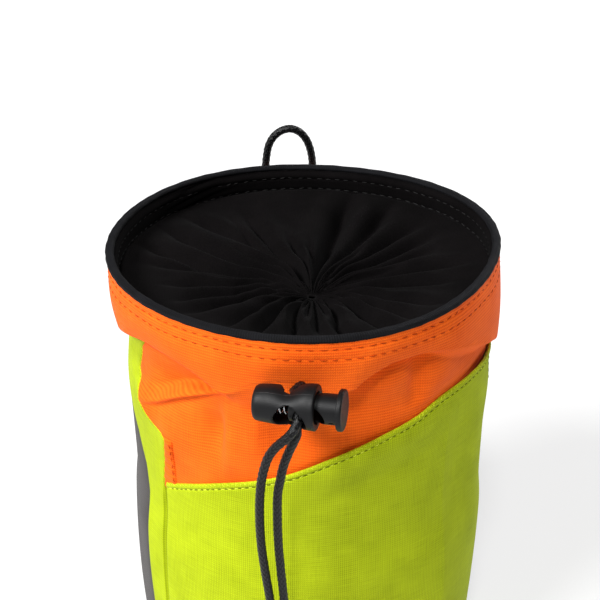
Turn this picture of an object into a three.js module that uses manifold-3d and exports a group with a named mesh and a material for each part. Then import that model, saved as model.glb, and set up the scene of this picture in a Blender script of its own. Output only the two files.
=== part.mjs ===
// A round drawstring chalk bag that stands on its base: a cloth tube of sewn panels, a flared collar with a
// bound rim, a black knit closure pulled shut by a drawcord, a sprung cord lock and a hanging loop.
// Millimetres, +Z up, the origin at the centre of the base's flat underside. The front of the bag is at -Y.
// Angles round the bag are in degrees from the front, positive towards +X.
import * as THREE from 'three';
import * as BufferGeometryUtils from 'three/addons/utils/BufferGeometryUtils.js';
import Module from 'manifold-3d';

const wasm = await Module();
wasm.setup();

// Driving dimensions
const bagHeight = 150;
const rimRadius = 60.3;
const bodyRadius = 57.2;
const sideLean = 1.2;
const leanDepth = 25.5;
const seatGap = 0.3;

const panelWall = 1.5;
const pocketWall = 1.3;
const panelOverlap = 5;
const hemLift = 0.6;
const tuckEase = 3;
const tuckStart = 0.5;
const foldFade = 5;

const pipingWidth = 2.7;
const pipingHeight = 2.8;

const collarWall = 1.6;
const collarInset = 0.35;
const collarFootRadius = 59.5;
const collarBulge = 0.7;

const facingWall = 0.9;
const facingDepth = 7;

const closureWall = 1;
const closureLift = 1.6;
const closureDrop = 8.6;
const closureSweep = 0.8;
const closureHole = 1.5;
const closureCentreX = 2.5;
const closureCentreY = -8;
const pleatCount = 24;
const pleatDepth = 1.5;
const casingThickness = 2.4;
const casingRadius = 3.7;

const baseThickness = 1.8;
const baseInset = 0.75;
const baseMargin = 4;

const cordDiameter = 2.5;
const loopDiameter = 2.4;
const cordHoleRadius = 3.4;
const cordHoleX = -1;
const cordHoleFromTop = 17.3;
const cordHoleCut = 24;
const knotWidth = 9.4;
const knotHeight = 10.5;
const knotTail = 14;
const knotTailSpread = 1.75;

const lockLength = 16.9;
const lockSmallEnd = 9.6;
const lockLargeEnd = 12.5;
const lockDip = 1.1;
const lockHole = 9;
const lockHoleFromMouth = 6.6;
const lockEndWall = 1.5;
const lockTravel = 5;
const neckDiameter = 8.2;
const neckClearance = 0.3;
const neckReach = 5.7;
const neckEndWall = 1.2;
const neckSlotLength = 8.4;
const neckSlotWidth = 6.4;
const neckSlotFromFlange = 3.2;
const neckSlotCorner = 1.4;
const flangeDiameter = 11.2;
const flangeThickness = 1.5;
const springWidth = 5;
const springWire = 0.6;
const springPocket = 6;
const springTurns = 5;

const tabWidth = 23;
const tabHeight = 13;
const tabThickness = 3.4;

// The cord lock's place: the centre of its closed end, its yaw and pitch, and the slope of its cord hole
const lockStandOff = 6.4;
const lockFromTop = 16.1;
const lockEnd = new THREE.Vector3(-13, -(collarFootRadius + lockStandOff), bagHeight - lockFromTop);
const lockYaw = 13.8;
const lockPitch = -2.6;
const lockHoleSlope = 25;

// Waves that pull the rim out of round: the number of turns, and shares of the rim's radius
const RIM_WAVES = [
  { turns: 3, cosine: 0.0149, sine: 0 },
  { turns: 2, cosine: 0, sine: -0.0083 },
  { turns: 4, cosine: 0, sine: 0.0091 },
];

// The tube's side outline: height as a share of the bag's height, radius as a share of the body's radius
const BODY_OUTLINE = [
  { height: 0, radius: 0.955 },
  { height: 0.02, radius: 0.985 },
  { height: 0.06, radius: 1.005 },
  { height: 0.22, radius: 1.025 },
  { height: 0.4, radius: 1.022 },
  { height: 0.5, radius: 1.0 },
  { height: 0.62, radius: 0.998 },
  { height: 0.72, radius: 1.006 },
  { height: 0.79, radius: 0.99 },
  { height: 0.83, radius: 0.98 },
  { height: 1, radius: 0.98 },
];

// The collar's lower edge: angle, and height as a share of the bag's height
const COLLAR_EDGE = [
  { angle: -180, height: 0.85 },
  { angle: -135, height: 0.835 },
  { angle: -90, height: 0.832 },
  { angle: -75, height: 0.847 },
  { angle: -60, height: 0.883 },
  { angle: -45, height: 0.893 },
  { angle: -30, height: 0.893 },
  { angle: -15, height: 0.9 },
  { angle: 0, height: 0.906 },
  { angle: 15, height: 0.908 },
  { angle: 30, height: 0.916 },
  { angle: 42, height: 0.916 },
  { angle: 52, height: 0.9 },
  { angle: 64, height: 0.863 },
  { angle: 76, height: 0.828 },
  { angle: 90, height: 0.817 },
  { angle: 135, height: 0.825 },
  { angle: 180, height: 0.85 },
];

// The upright seams: height as a share of the bag's height, and the angle of each seam at that height
const SEAMS = [
  { height: 0, greyLeft: -59, left: -49.5, right: 78, greyRight: 92 },
  { height: 0.5, greyLeft: -60, left: -49.5, right: 77, greyRight: 93 },
  { height: 0.56, greyLeft: -62, left: -48.3, right: 77, greyRight: 95 },
  { height: 0.62, greyLeft: -68, left: -47.7, right: 77, greyRight: 101 },
  { height: 0.675, greyLeft: -77, left: -47.6, right: 77.5, greyRight: 110 },
  { height: 0.691, greyLeft: -80, left: -55.5, right: 78, greyRight: 113 },
  { height: 0.708, greyLeft: -83, left: -62.6, right: 78.5, greyRight: 116 },
  { height: 0.75, greyLeft: -92, left: -64.6, right: 80, greyRight: 122 },
  { height: 0.79, greyLeft: -98, left: -63, right: 86, greyRight: 128 },
  { height: 0.87, greyLeft: -103, left: -58, right: 88, greyRight: 133 },
  { height: 1, greyLeft: -105, left: -57, right: 88, greyRight: 135 },
];

// The pocket's swept hem: angle, and height as a share of the bag's height
const POCKET_HEM = [
  { angle: -50, height: 0.562 },
  { angle: -28.5, height: 0.627 },
  { angle: -13.3, height: 0.663 },
  { angle: -4.3, height: 0.687 },
  { angle: 7.2, height: 0.722 },
  { angle: 22, height: 0.757 },
  { angle: 34.6, height: 0.775 },
  { angle: 44.5, height: 0.793 },
  { angle: 58.7, height: 0.798 },
  { angle: 79.3, height: 0.771 },
];

// Folds and dents in the front panel, each along a line from one place to another: angle, height as a share
// of the bag's height, width and depth as shares of the body's radius, with a negative depth for a dent
const FOLDS = [
  { fromAngle: -60, fromHeight: 0.755, toAngle: -16, toHeight: 0.883, width: 0.045, depth: 0.022 },
  { fromAngle: -56, fromHeight: 0.83, toAngle: -30, toHeight: 0.86, width: 0.075, depth: -0.036 },
  { fromAngle: -46, fromHeight: 0.735, toAngle: -14, toHeight: 0.84, width: 0.04, depth: -0.02 },
  { fromAngle: -60, fromHeight: 0.715, toAngle: -46, toHeight: 0.7, width: 0.055, depth: 0.04 },
  { fromAngle: -36, fromHeight: 0.7, toAngle: -31, toHeight: 0.68, width: 0.09, depth: -0.02 },
  { fromAngle: -13, fromHeight: 0.83, toAngle: -12, toHeight: 0.7, width: 0.035, depth: -0.022 },
  { fromAngle: 12, fromHeight: 0.85, toAngle: 35, toHeight: 0.9, width: 0.035, depth: -0.022 },
  { fromAngle: 20, fromHeight: 0.85, toAngle: 30, toHeight: 0.83, width: 0.06, depth: 0.016 },
  { fromAngle: 36, fromHeight: 0.9, toAngle: 38, toHeight: 0.78, width: 0.06, depth: -0.03 },
  { fromAngle: 50, fromHeight: 0.84, toAngle: 68, toHeight: 0.82, width: 0.08, depth: 0.018 },
];

// The drawcord's two strands: from the gathered casing under the closure, out through the front panel,
// through the cord lock, and down the front to the knot
const LEFT_STRAND = [
  [1, -13.6, 129.2],
  [-0.2, -22, 129.2],
  [-1.6, -34, 130.2],
  [-2.7, -46, 132.2],
  [-2.8, -54, 132.7],
  [-2.8, -58.2, 132.8],
  [-2.8, -60.3, 133.5],
  [-2.5, -62, 135],
  [-0.9, -63.6, 137.5],
  [-0.2, -65.7, 137.5],
  [-0.3, -67.4, 136.8],
  [-0.8, -69.5, 135.8],
  [-1.2, -71.3, 134.9],
  [-1.6, -73.1, 134.1],
  [-2, -74.6, 133.2],
  [-2.9, -75.9, 131.7],
  [-4.2, -76.2, 130],
  [-7.8, -75.5, 125.8],
  [-9.5, -75, 122.6],
  [-11, -74.3, 117],
  [-11.9, -73.5, 109.7],
  [-12.2, -72.8, 100],
  [-11.9, -72, 90],
  [-11, -71.3, 80],
  [-9.9, -70.8, 70],
  [-9, -70.4, 60],
  [-8.3, -70.2, 50],
  [-8, -70.1, 43.6],
];
const RIGHT_STRAND = [
  [4, -13.6, 129.2],
  [3.3, -22, 129.2],
  [1.6, -34, 130.2],
  [0.4, -46, 132.2],
  [0.3, -54, 132.7],
  [0.6, -58, 132.7],
  [0.9, -60.2, 133.1],
  [0.4, -62.5, 134.7],
  [0.1, -64.3, 134.8],
  [0, -66.8, 133.9],
  [-0.4, -68.4, 133.2],
  [-0.8, -70.2, 132.4],
  [-1.3, -71.9, 131.5],
  [-1.9, -73.1, 130.7],
  [-2.1, -73.8, 128.8],
  [-2.8, -73.9, 126.8],
  [-3.9, -73.6, 123.9],
  [-5.6, -73.2, 118.4],
  [-6.6, -72.8, 112.9],
  [-7.2, -72.5, 108.9],
  [-7.4, -72, 100],
  [-7.2, -71.4, 90],
  [-6.6, -71, 80],
  [-5.9, -70.6, 70],
  [-5.3, -70.3, 60],
  [-4.9, -70.2, 50],
  [-4.7, -70.1, 43.6],
];

// The hanging loop behind the rim, from one end in the sewn tab to the other
const HANGING_LOOP = [
  [-13.4, 60.8, 141.4],
  [-13.5, 60.9, 145],
  [-13.3, 61, 149],
  [-12.9, 61.1, 152.5],
  [-12.2, 61.2, 156],
  [-10.5, 61.3, 159.2],
  [-7.7, 61.4, 161.5],
  [-4.4, 61.5, 162.2],
  [-1.3, 61.6, 160.9],
  [0.9, 61.8, 158.2],
  [2.2, 61.9, 155],
  [2.9, 62, 151.6],
  [3.2, 62.1, 148],
  [3.3, 62.1, 144.6],
  [3.3, 62.1, 141.4],
];

// Numbers of sides and steps
const CORD_SIDES = 8;
const STRAND_STEPS = 40;
const LOOP_STEPS = 26;
const WIRE_SIDES = 5;
const WIRE_STEPS = 7;
const RING_COLUMNS = 48;
const HOLE_SIDES = 20;
const CASING_CORNERS = 8;
const KNOT_SIDES = 14;
const CUT_OVERRUN = 1;

// Materials
const matte = (color, roughness) => new THREE.MeshStandardMaterial({ color, roughness, metalness: 0 });
const orangeCloth = () => matte(0xf06a12, 0.85);
const limeCloth = () => matte(0xb9d40f, 0.85);
const greyCloth = () => matte(0x6b6769, 0.9);
const blackCloth = () => matte(0x151516, 0.9);
const blackPlastic = () => matte(0x1c1d1f, 0.55);
const steelWire = () => new THREE.MeshStandardMaterial({ color: 0xc9cbcf, roughness: 0.25, metalness: 1 });

const bag = new THREE.Group();

function add(name, geometry, material) {
  const mesh = new THREE.Mesh(geometry, material);
  mesh.name = name;
  bag.add(mesh);
  return mesh;
}

// Helpers
const radians = THREE.MathUtils.degToRad;
const mix = THREE.MathUtils.lerp;
const clamp = THREE.MathUtils.clamp;
const smooth = THREE.MathUtils.smoothstep;

function place(angle, radius, height) {
  return [radius * Math.sin(radians(angle)), -radius * Math.cos(radians(angle)), height];
}

// Reads a value from a table by easing between its two nearest rows
function lookUp(table, keyColumn, valueColumn, key) {
  const last = table.length - 1;
  if (key <= table[0][keyColumn]) return table[0][valueColumn];
  if (key >= table[last][keyColumn]) return table[last][valueColumn];
  const next = table.findIndex((row) => row[keyColumn] > key);
  const low = table[next - 1];
  const high = table[next];
  const share = (key - low[keyColumn]) / (high[keyColumn] - low[keyColumn]);
  const before = table[Math.max(next - 2, 0)];
  const after = table[Math.min(next + 1, last)];
  const slope = (a, b) => (b[valueColumn] - a[valueColumn]) / (b[keyColumn] - a[keyColumn]);
  const span = high[keyColumn] - low[keyColumn];
  const lowSlope = before === low ? slope(low, high) : slope(before, high);
  const highSlope = after === high ? slope(low, high) : slope(low, after);
  const s2 = share * share;
  const s3 = s2 * share;
  return (2 * s3 - 3 * s2 + 1) * low[valueColumn] + (s3 - 2 * s2 + share) * span * lowSlope
    + (3 * s2 - 2 * s3) * high[valueColumn] + (s3 - s2) * span * highSlope;
}

// Reads a value from a table along straight lines between its rows
function lineUp(table, keyColumn, valueColumn, key) {
  const last = table.length - 1;
  if (key <= table[0][keyColumn]) return table[0][valueColumn];
  if (key >= table[last][keyColumn]) return table[last][valueColumn];
  const next = table.findIndex((row) => row[keyColumn] > key);
  const low = table[next - 1];
  const high = table[next];
  const share = (key - low[keyColumn]) / (high[keyColumn] - low[keyColumn]);
  return mix(low[valueColumn], high[valueColumn], share);
}

function toHalfTurn(angle) {
  return THREE.MathUtils.euclideanModulo(angle + 180, 360) - 180;
}

// A closed cloth shell: a grid on its outer face, the same grid on its inner face, and walls round the
// edges. The columns run to the right and the rows run up, as seen from outside.
function shellGeometry({ columns, rows, around, outer, inner }) {
  const points = [];
  const index = [];
  const perRow = around ? columns : columns + 1;
  for (const face of [outer, inner]) {
    for (const row of rows) {
      for (let column = 0; column < perRow; column += 1) {
        points.push(...face(column / columns, row));
      }
    }
  }
  const faceSize = perRow * rows.length;
  const at = (side, row, column) => side * faceSize + row * perRow + (column % perRow);
  // Two triangles between a pair of columns, from the first corner round to the last
  const quad = (...corners) => {
    const [a, b, c, d] = corners.map(([side, row, column]) => at(side, row, column));
    index.push(a, b, c, a, c, d);
  };
  const lastRow = rows.length - 1;
  for (let column = 0; column < columns; column += 1) {
    for (let row = 0; row < lastRow; row += 1) {
      quad([0, row, column], [0, row, column + 1], [0, row + 1, column + 1], [0, row + 1, column]);
      quad([1, row, column + 1], [1, row, column], [1, row + 1, column], [1, row + 1, column + 1]);
    }
    quad([1, 0, column], [1, 0, column + 1], [0, 0, column + 1], [0, 0, column]);
    quad([0, lastRow, column], [0, lastRow, column + 1], [1, lastRow, column + 1], [1, lastRow, column]);
  }
  if (!around) {
    for (let row = 0; row < lastRow; row += 1) {
      quad([1, row, 0], [0, row, 0], [0, row + 1, 0], [1, row + 1, 0]);
      quad([0, row, columns], [1, row, columns], [1, row + 1, columns], [0, row + 1, columns]);
    }
  }
  const geometry = new THREE.BufferGeometry();
  geometry.setAttribute('position', new THREE.Float32BufferAttribute(points, 3));
  geometry.setIndex(index);
  geometry.computeVertexNormals();
  return geometry;
}

function evenRows(count) {
  return Array.from({ length: count + 1 }, (_, row) => row / count);
}

// Cuts and joins of closed meshes
function toSolid(geometry) {
  const bare = geometry.clone();
  bare.deleteAttribute('normal');
  bare.deleteAttribute('uv');
  const merged = BufferGeometryUtils.mergeVertices(bare, 1e-4);
  return new wasm.Manifold(new wasm.Mesh({
    numProp: 3,
    vertProperties: new Float32Array(merged.attributes.position.array),
    triVerts: new Uint32Array(merged.index.array),
  }));
}

function fromSolid(solid) {
  const mesh = solid.getMesh();
  const geometry = new THREE.BufferGeometry();
  geometry.setAttribute('position', new THREE.Float32BufferAttribute(mesh.vertProperties, 3));
  geometry.setIndex(Array.from(mesh.triVerts));
  geometry.computeVertexNormals();
  return geometry;
}

function roundSection(diameter, sides) {
  const section = new THREE.Shape();
  for (let side = 0; side < sides; side += 1) {
    const turn = (side / sides) * 2 * Math.PI;
    const x = (diameter / 2) * Math.cos(turn);
    const y = (diameter / 2) * Math.sin(turn);
    if (side === 0) section.moveTo(x, y);
    else section.lineTo(x, y);
  }
  return section;
}

// A tube of a regular section along a smooth curve through a list of points
function cordGeometry(route, diameter, steps) {
  const path = new THREE.CatmullRomCurve3(route.map((p) => new THREE.Vector3(...p)), false, 'centripetal');
  const section = roundSection(diameter, CORD_SIDES);
  return new THREE.ExtrudeGeometry(section, { steps, extrudePath: path, bevelEnabled: false });
}

// The rim and the collar
function rimOuter(angle) {
  const waves = RIM_WAVES.map((wave) => wave.cosine * Math.cos(radians(wave.turns * angle))
    + wave.sine * Math.sin(radians(wave.turns * angle)));
  return rimRadius * (1 + waves.reduce((sum, wave) => sum + wave, 0));
}

const collarTop = bagHeight - pipingHeight - seatGap;

function collarEdge(angle) {
  return bagHeight * lookUp(COLLAR_EDGE, 'angle', 'height', toHalfTurn(angle));
}

function lean(angle, height) {
  return sideLean * clamp((bagHeight - height) / leanDepth, 0, 1) * Math.sin(radians(angle));
}

function collarOuter(angle, height) {
  const share = clamp((collarTop - height) / (collarTop - collarEdge(angle)), 0, 1);
  return mix(rimOuter(angle) - collarInset, collarFootRadius, share)
    + collarBulge * Math.sin(Math.PI * share) + lean(angle, height);
}

function makePiping() {
  // The section of the binding: distance in from the rim's outer edge and height below its top, as shares
  const section = [
    { inward: 0.08, below: 1 },
    { inward: 0, below: 0.5 },
    { inward: 0.2, below: 0.1 },
    { inward: 0.5, below: 0 },
    { inward: 0.8, below: 0.1 },
    { inward: 1, below: 0.5 },
    { inward: 0.92, below: 1 },
  ];
  const points = [];
  const index = [];
  for (let column = 0; column < RING_COLUMNS; column += 1) {
    const angle = (column / RING_COLUMNS) * 360;
    for (const corner of section) {
      points.push(...place(angle, rimOuter(angle) - corner.inward * pipingWidth,
        bagHeight - corner.below * pipingHeight));
    }
  }
  for (let column = 0; column < RING_COLUMNS; column += 1) {
    for (let corner = 0; corner < section.length; corner += 1) {
      const nextColumn = ((column + 1) % RING_COLUMNS) * section.length;
      const nextCorner = (corner + 1) % section.length;
      const here = column * section.length;
      index.push(here + corner, nextColumn + corner, nextColumn + nextCorner);
      index.push(here + corner, nextColumn + nextCorner, here + nextCorner);
    }
  }
  const geometry = new THREE.BufferGeometry();
  geometry.setAttribute('position', new THREE.Float32BufferAttribute(points, 3));
  geometry.setIndex(index);
  geometry.computeVertexNormals();
  add('rim_piping', geometry, blackCloth());
}

function makeCollar() {
  const face = (inward) => (u, v) => {
    const angle = u * 360;
    const height = mix(collarEdge(angle), collarTop, v);
    return place(angle, collarOuter(angle, height) - inward, height);
  };
  add('collar_band', shellGeometry({
    columns: RING_COLUMNS, rows: evenRows(3), around: true, outer: face(0), inner: face(collarWall),
  }), orangeCloth());
}

const facingFoot = collarTop - facingDepth;

function facingInner(angle, height) {
  return collarOuter(angle, height) - collarWall - seatGap - facingWall;
}

function makeFacing() {
  const face = (inward) => (u, v) => {
    const height = mix(facingFoot, collarTop, v);
    return place(u * 360, facingInner(u * 360, height) + facingWall - inward, height);
  };
  add('rim_facing', shellGeometry({
    columns: RING_COLUMNS, rows: [0, 1], around: true, outer: face(0), inner: face(facingWall),
  }), blackCloth());
}

// The gathered closure and its casing
const closureTop = facingFoot + closureLift;
const facetSag = rimRadius * (1 - Math.cos(Math.PI / RING_COLUMNS));

function closurePoint(angle, share, below) {
  const facing = Math.min(facingInner(angle, closureTop), facingInner(angle, facingFoot));
  const edge = facing - seatGap - facetSag;
  const radius = mix(closureHole, edge, share);
  const pleat = 2 * pleatDepth * share * (1 - share) * Math.cos(radians(angle * pleatCount));
  const height = closureTop - closureDrop * (1 - share ** closureSweep) + pleat * Math.sqrt(share);
  const [x, y] = place(angle, radius, 0);
  return [x + closureCentreX * (1 - share), y + closureCentreY * (1 - share), height - below];
}

function makeClosure() {
  const columns = pleatCount * 3;
  const face = (below) => (u, v) => closurePoint(u * 360, v, below);
  // The shares run from the hole out to the edge, so that the face that looks up is the outer one
  add('closure', shellGeometry({
    columns, rows: [1, 0.8, 0.55, 0.3, 0], around: true, outer: face(0), inner: face(closureWall),
  }), blackCloth());

  const halfCasing = casingThickness / 2;
  const profile = [];
  for (let corner = 0; corner <= CASING_CORNERS; corner += 1) {
    const turn = (corner / CASING_CORNERS) * 2 * Math.PI;
    const out = casingRadius + halfCasing * Math.cos(turn);
    profile.push(new THREE.Vector2(out, halfCasing * Math.sin(turn)));
  }
  const geometry = new THREE.LatheGeometry(profile, HOLE_SIDES);
  geometry.rotateX(Math.PI / 2);
  const casingHeight = closureTop - closureDrop - closureWall - seatGap - halfCasing;
  geometry.translate(closureCentreX, closureCentreY, casingHeight);
  add('closure_casing', geometry, blackCloth());
}

// The tube of the bag: panels side by side, with their tops tucked up inside the collar
function foldDepth(angle, height) {
  let depth = 0;
  for (const fold of FOLDS) {
    const along = radians(fold.toAngle - fold.fromAngle) * bodyRadius;
    const up = (fold.toHeight - fold.fromHeight) * bagHeight;
    const x = radians(angle - fold.fromAngle) * bodyRadius;
    const y = height - fold.fromHeight * bagHeight;
    const share = clamp((x * along + y * up) / (along * along + up * up), 0, 1);
    const distance = Math.hypot(x - share * along, y - share * up);
    depth += fold.depth * bodyRadius * Math.exp(-((distance / (fold.width * bodyRadius)) ** 2));
  }
  return depth;
}

const pocketStep = pocketWall + seatGap + 2 * facetSag;

function sideOuter(angle, height) {
  return bodyRadius * lookUp(BODY_OUTLINE, 'height', 'radius', height / bagHeight) + lean(angle, height);
}

// A panel's outer face follows the side outline, then seats against the collar's inner face
function tucked(angle, height, free) {
  const seat = collarOuter(angle, height) - collarWall - seatGap;
  const edge = collarEdge(angle);
  const share = smooth(height, edge - tuckEase, edge + tuckEase);
  return Math.min(mix(free, seat, share), height > edge - tuckStart ? seat : Infinity);
}

function pocketHem(angle) {
  return bagHeight * lookUp(POCKET_HEM, 'angle', 'height', angle);
}

// The folds fade out under the pocket, where its cloth holds the front panel flat
function frontOuter(angle, height) {
  const bare = smooth(height, pocketHem(angle), pocketHem(angle) + foldFade);
  const free = sideOuter(angle, height) - pocketStep + bare * foldDepth(angle, height);
  return tucked(angle, height, free);
}

// Rows of a panel: below the middle they are shares of the bag's height, and above it they are spread up to
// the piece's own top edge
const MIDDLE = 0.5;
const PANEL_TOP = 0.92;
const PANEL_ROWS = [
  0, 0.02, 0.06, 0.22, 0.38, 0.45, 0.5, 0.62, 0.7, 0.725, 0.75, 0.78, 0.82, 0.87, 0.91, 0.955, 1,
];
const POCKET_ROWS = [0, 0.02, 0.06, 0.22, 0.38, 0.45, 0.5, 0.67, 0.84, 1];

function rowHeight(row, top) {
  if (row <= MIDDLE) return Math.max(bagHeight * row, hemLift);
  return mix(bagHeight * MIDDLE, top, (row - MIDDLE) / (1 - MIDDLE));
}

// A panel between two seams: the seams are read at the row's share of the height
function makePanel({ name, columns, seamLeft, seamRight, outerRadius, material, cut }) {
  const meanTop = PANEL_TOP * bagHeight;
  const face = (inward) => (u, v) => {
    const share = rowHeight(v, meanTop) / bagHeight;
    const angle = mix(seamLeft(share), seamRight(share), u);
    const top = Math.min(collarEdge(angle) + panelOverlap, facingFoot - seatGap);
    const height = rowHeight(v, top);
    return place(angle, outerRadius(angle, height) - inward, height);
  };
  let geometry = shellGeometry({
    columns, rows: PANEL_ROWS, around: false, outer: face(0), inner: face(panelWall),
  });
  if (cut) geometry = fromSolid(toSolid(geometry).subtract(toSolid(cut)));
  add(name, geometry, material);
}

function seam(column, offset, lift) {
  const turn = THREE.MathUtils.radToDeg(offset / bodyRadius);
  return (share) => lineUp(SEAMS, 'height', column, share + lift / bagHeight) + turn;
}

function makePanels() {
  const half = seatGap / 2;
  const wholeTurn = 360;
  const plainOuter = (angle, height) => tucked(angle, height, sideOuter(angle, height));
  const greyLeft = seam('greyLeft', -half, 0);
  const hole = new THREE.CylinderGeometry(cordHoleRadius, cordHoleRadius, cordHoleCut, HOLE_SIDES);
  hole.translate(cordHoleX, -bodyRadius, bagHeight - cordHoleFromTop);
  makePanel({
    name: 'front_panel',
    columns: 24,
    seamLeft: seam('left', half, 0),
    seamRight: seam('right', -half, 0),
    outerRadius: frontOuter,
    material: orangeCloth(),
    cut: hole,
  });
  makePanel({
    name: 'side_panel_left',
    columns: 5,
    seamLeft: seam('greyLeft', half, 0),
    seamRight: seam('left', -half, seatGap),
    outerRadius: plainOuter,
    material: limeCloth(),
  });
  makePanel({
    name: 'side_panel_right',
    columns: 5,
    seamLeft: seam('right', half, 0),
    seamRight: seam('greyRight', -half, 0),
    outerRadius: plainOuter,
    material: limeCloth(),
  });
  makePanel({
    name: 'back_panel',
    columns: 15,
    seamLeft: seam('greyRight', half, 0),
    seamRight: (share) => greyLeft(share) + wholeTurn,
    outerRadius: plainOuter,
    material: greyCloth(),
  });
}

// The pocket's cloth lies over the front panel, up to its swept hem. Its sides run straight up from the
// panel's seams at the height where the hem starts.
function makePocket() {
  const firstAngle = seam('left', seatGap, 0)(POCKET_HEM[0].height);
  const lastAngle = seam('right', -seatGap, 0)(POCKET_HEM[0].height);
  const face = (inward) => (u, v) => {
    const angle = mix(firstAngle, lastAngle, u);
    const height = rowHeight(v, pocketHem(angle));
    return place(angle, sideOuter(angle, height) - inward, height);
  };
  add('front_pocket', shellGeometry({
    columns: 20, rows: POCKET_ROWS, around: false, outer: face(0), inner: face(pocketWall),
  }), limeCloth());
}

function makeBase() {
  const shape = new THREE.Shape();
  for (let corner = 0; corner < RING_COLUMNS; corner += 1) {
    const angle = toHalfTurn((corner / RING_COLUMNS) * 360);
    const inFront = angle > SEAMS[0].left - baseMargin && angle < SEAMS[0].right + baseMargin;
    const radius = sideOuter(angle, hemLift) - (inFront ? pocketStep : 0) - panelWall - baseInset;
    const [x, y] = place(angle, radius, 0);
    if (corner === 0) shape.moveTo(x, y);
    else shape.lineTo(x, y);
  }
  add('base', new THREE.ExtrudeGeometry(shape, { depth: baseThickness, bevelEnabled: false }), greyCloth());
}

// The cord lock, made along its own X axis from its closed end to its mouth
function makeLock() {
  const boreRadius = neckDiameter / 2 + neckClearance;
  const holeAt = lockLength - lockHoleFromMouth;
  const flangeFace = lockLength + neckReach;
  const slotCentre = flangeFace - neckSlotFromFlange - neckSlotLength / 2;
  const neckStart = slotCentre - neckSlotLength / 2 - neckEndWall;
  const boreEnd = neckStart - lockTravel - seatGap;

  // A round solid along X from one place to another
  const rod = (radius, from, to) => {
    const geometry = new THREE.CylinderGeometry(radius, radius, to - from, HOLE_SIDES);
    geometry.rotateZ(-Math.PI / 2);
    geometry.translate((from + to) / 2, 0, 0);
    return geometry;
  };

  // The barrel's stations: share of its length, and share of its tapering radius
  const stations = [
    { along: 0, swell: 0.86 },
    { along: 0.02, swell: 0.96 },
    { along: 0.06, swell: 1 },
    { along: 0.3, swell: 1 },
    { along: 0.42, swell: 1 },
    { along: 0.54, swell: 1 },
    { along: 0.66, swell: 1 },
    { along: 0.8, swell: 1 },
    { along: 0.97, swell: 1 },
    { along: 1, swell: 0.97 },
  ];
  const dipCentre = 0.54;
  const dipSpread = 0.16;
  const points = [];
  const index = [];
  for (const { along, swell } of stations) {
    const radius = (mix(lockSmallEnd, lockLargeEnd, along) / 2) * swell;
    const dip = lockDip * Math.exp(-(((along - dipCentre) / dipSpread) ** 2));
    for (let side = 0; side < HOLE_SIDES; side += 1) {
      const turn = (side / HOLE_SIDES) * 2 * Math.PI;
      const top = Math.max(Math.sin(turn), 0);
      points.push(along * lockLength, radius * Math.cos(turn), radius * Math.sin(turn) - dip * top ** 2);
    }
  }
  const lastRing = (stations.length - 1) * HOLE_SIDES;
  for (let ring = 0; ring < lastRing; ring += HOLE_SIDES) {
    for (let side = 0; side < HOLE_SIDES; side += 1) {
      const here = ring + side;
      const beside = ring + ((side + 1) % HOLE_SIDES);
      index.push(here, beside + HOLE_SIDES, here + HOLE_SIDES);
      index.push(here, beside, beside + HOLE_SIDES);
    }
  }
  for (let side = 1; side < HOLE_SIDES - 1; side += 1) {
    index.push(0, side + 1, side);
    index.push(lastRing, lastRing + side, lastRing + side + 1);
  }
  const outer = new THREE.BufferGeometry();
  outer.setAttribute('position', new THREE.Float32BufferAttribute(points, 3));
  outer.setIndex(index);

  const slope = radians(lockHoleSlope);
  const hole = new THREE.CylinderGeometry(lockHole / 2, lockHole / 2, 2 * lockLargeEnd, HOLE_SIDES);
  hole.rotateX(slope);
  hole.translate(holeAt, 0, 0);

  const barrel = toSolid(outer)
    .subtract(toSolid(rod(boreRadius, boreEnd, lockLength + CUT_OVERRUN)))
    .subtract(toSolid(rod(springPocket / 2, lockEndWall, boreEnd + CUT_OVERRUN)))
    .subtract(toSolid(hole));

  const slotHalfLength = neckSlotLength / 2 - neckSlotCorner;
  const slotHalfWidth = neckSlotWidth / 2 - neckSlotCorner;
  const quarter = Math.PI / 2;
  const slotShape = new THREE.Shape();
  slotShape.absarc(slotHalfLength, slotHalfWidth, neckSlotCorner, 0, quarter);
  slotShape.absarc(-slotHalfLength, slotHalfWidth, neckSlotCorner, quarter, 2 * quarter);
  slotShape.absarc(-slotHalfLength, -slotHalfWidth, neckSlotCorner, 2 * quarter, 3 * quarter);
  slotShape.absarc(slotHalfLength, -slotHalfWidth, neckSlotCorner, 3 * quarter, 4 * quarter);
  const slot = new THREE.ExtrudeGeometry(slotShape, {
    depth: 2 * neckDiameter, bevelEnabled: false, curveSegments: 3,
  });
  slot.translate(0, 0, -neckDiameter);
  slot.rotateX(slope - quarter);
  slot.translate(slotCentre, 0, 0);

  const plunger = toSolid(rod(neckDiameter / 2, neckStart, flangeFace + flangeThickness / 2))
    .subtract(toSolid(slot))
    .add(toSolid(rod(flangeDiameter / 2, flangeFace, flangeFace + flangeThickness)));

  const coil = new THREE.Curve();
  const springStart = lockEndWall + springWire;
  const springEnd = neckStart - springWire;
  const coilRadius = (springWidth - springWire) / 2;
  coil.getPoint = (share) => new THREE.Vector3(
    mix(springStart, springEnd, share),
    coilRadius * Math.cos(2 * Math.PI * springTurns * share),
    coilRadius * Math.sin(2 * Math.PI * springTurns * share),
  );
  const spring = new THREE.ExtrudeGeometry(roundSection(springWire, WIRE_SIDES), {
    steps: springTurns * WIRE_STEPS, extrudePath: coil, bevelEnabled: false,
  });

  const lock = new THREE.Group();
  lock.position.copy(lockEnd);
  lock.rotation.set(0, radians(lockPitch), radians(-lockYaw), 'ZYX');
  lock.add(
    add('cord_lock_barrel', fromSolid(barrel), blackPlastic()),
    add('cord_lock_plunger', fromSolid(plunger), blackPlastic()),
    add('cord_lock_spring', spring, steelWire()),
  );
  bag.add(lock);
}

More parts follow.
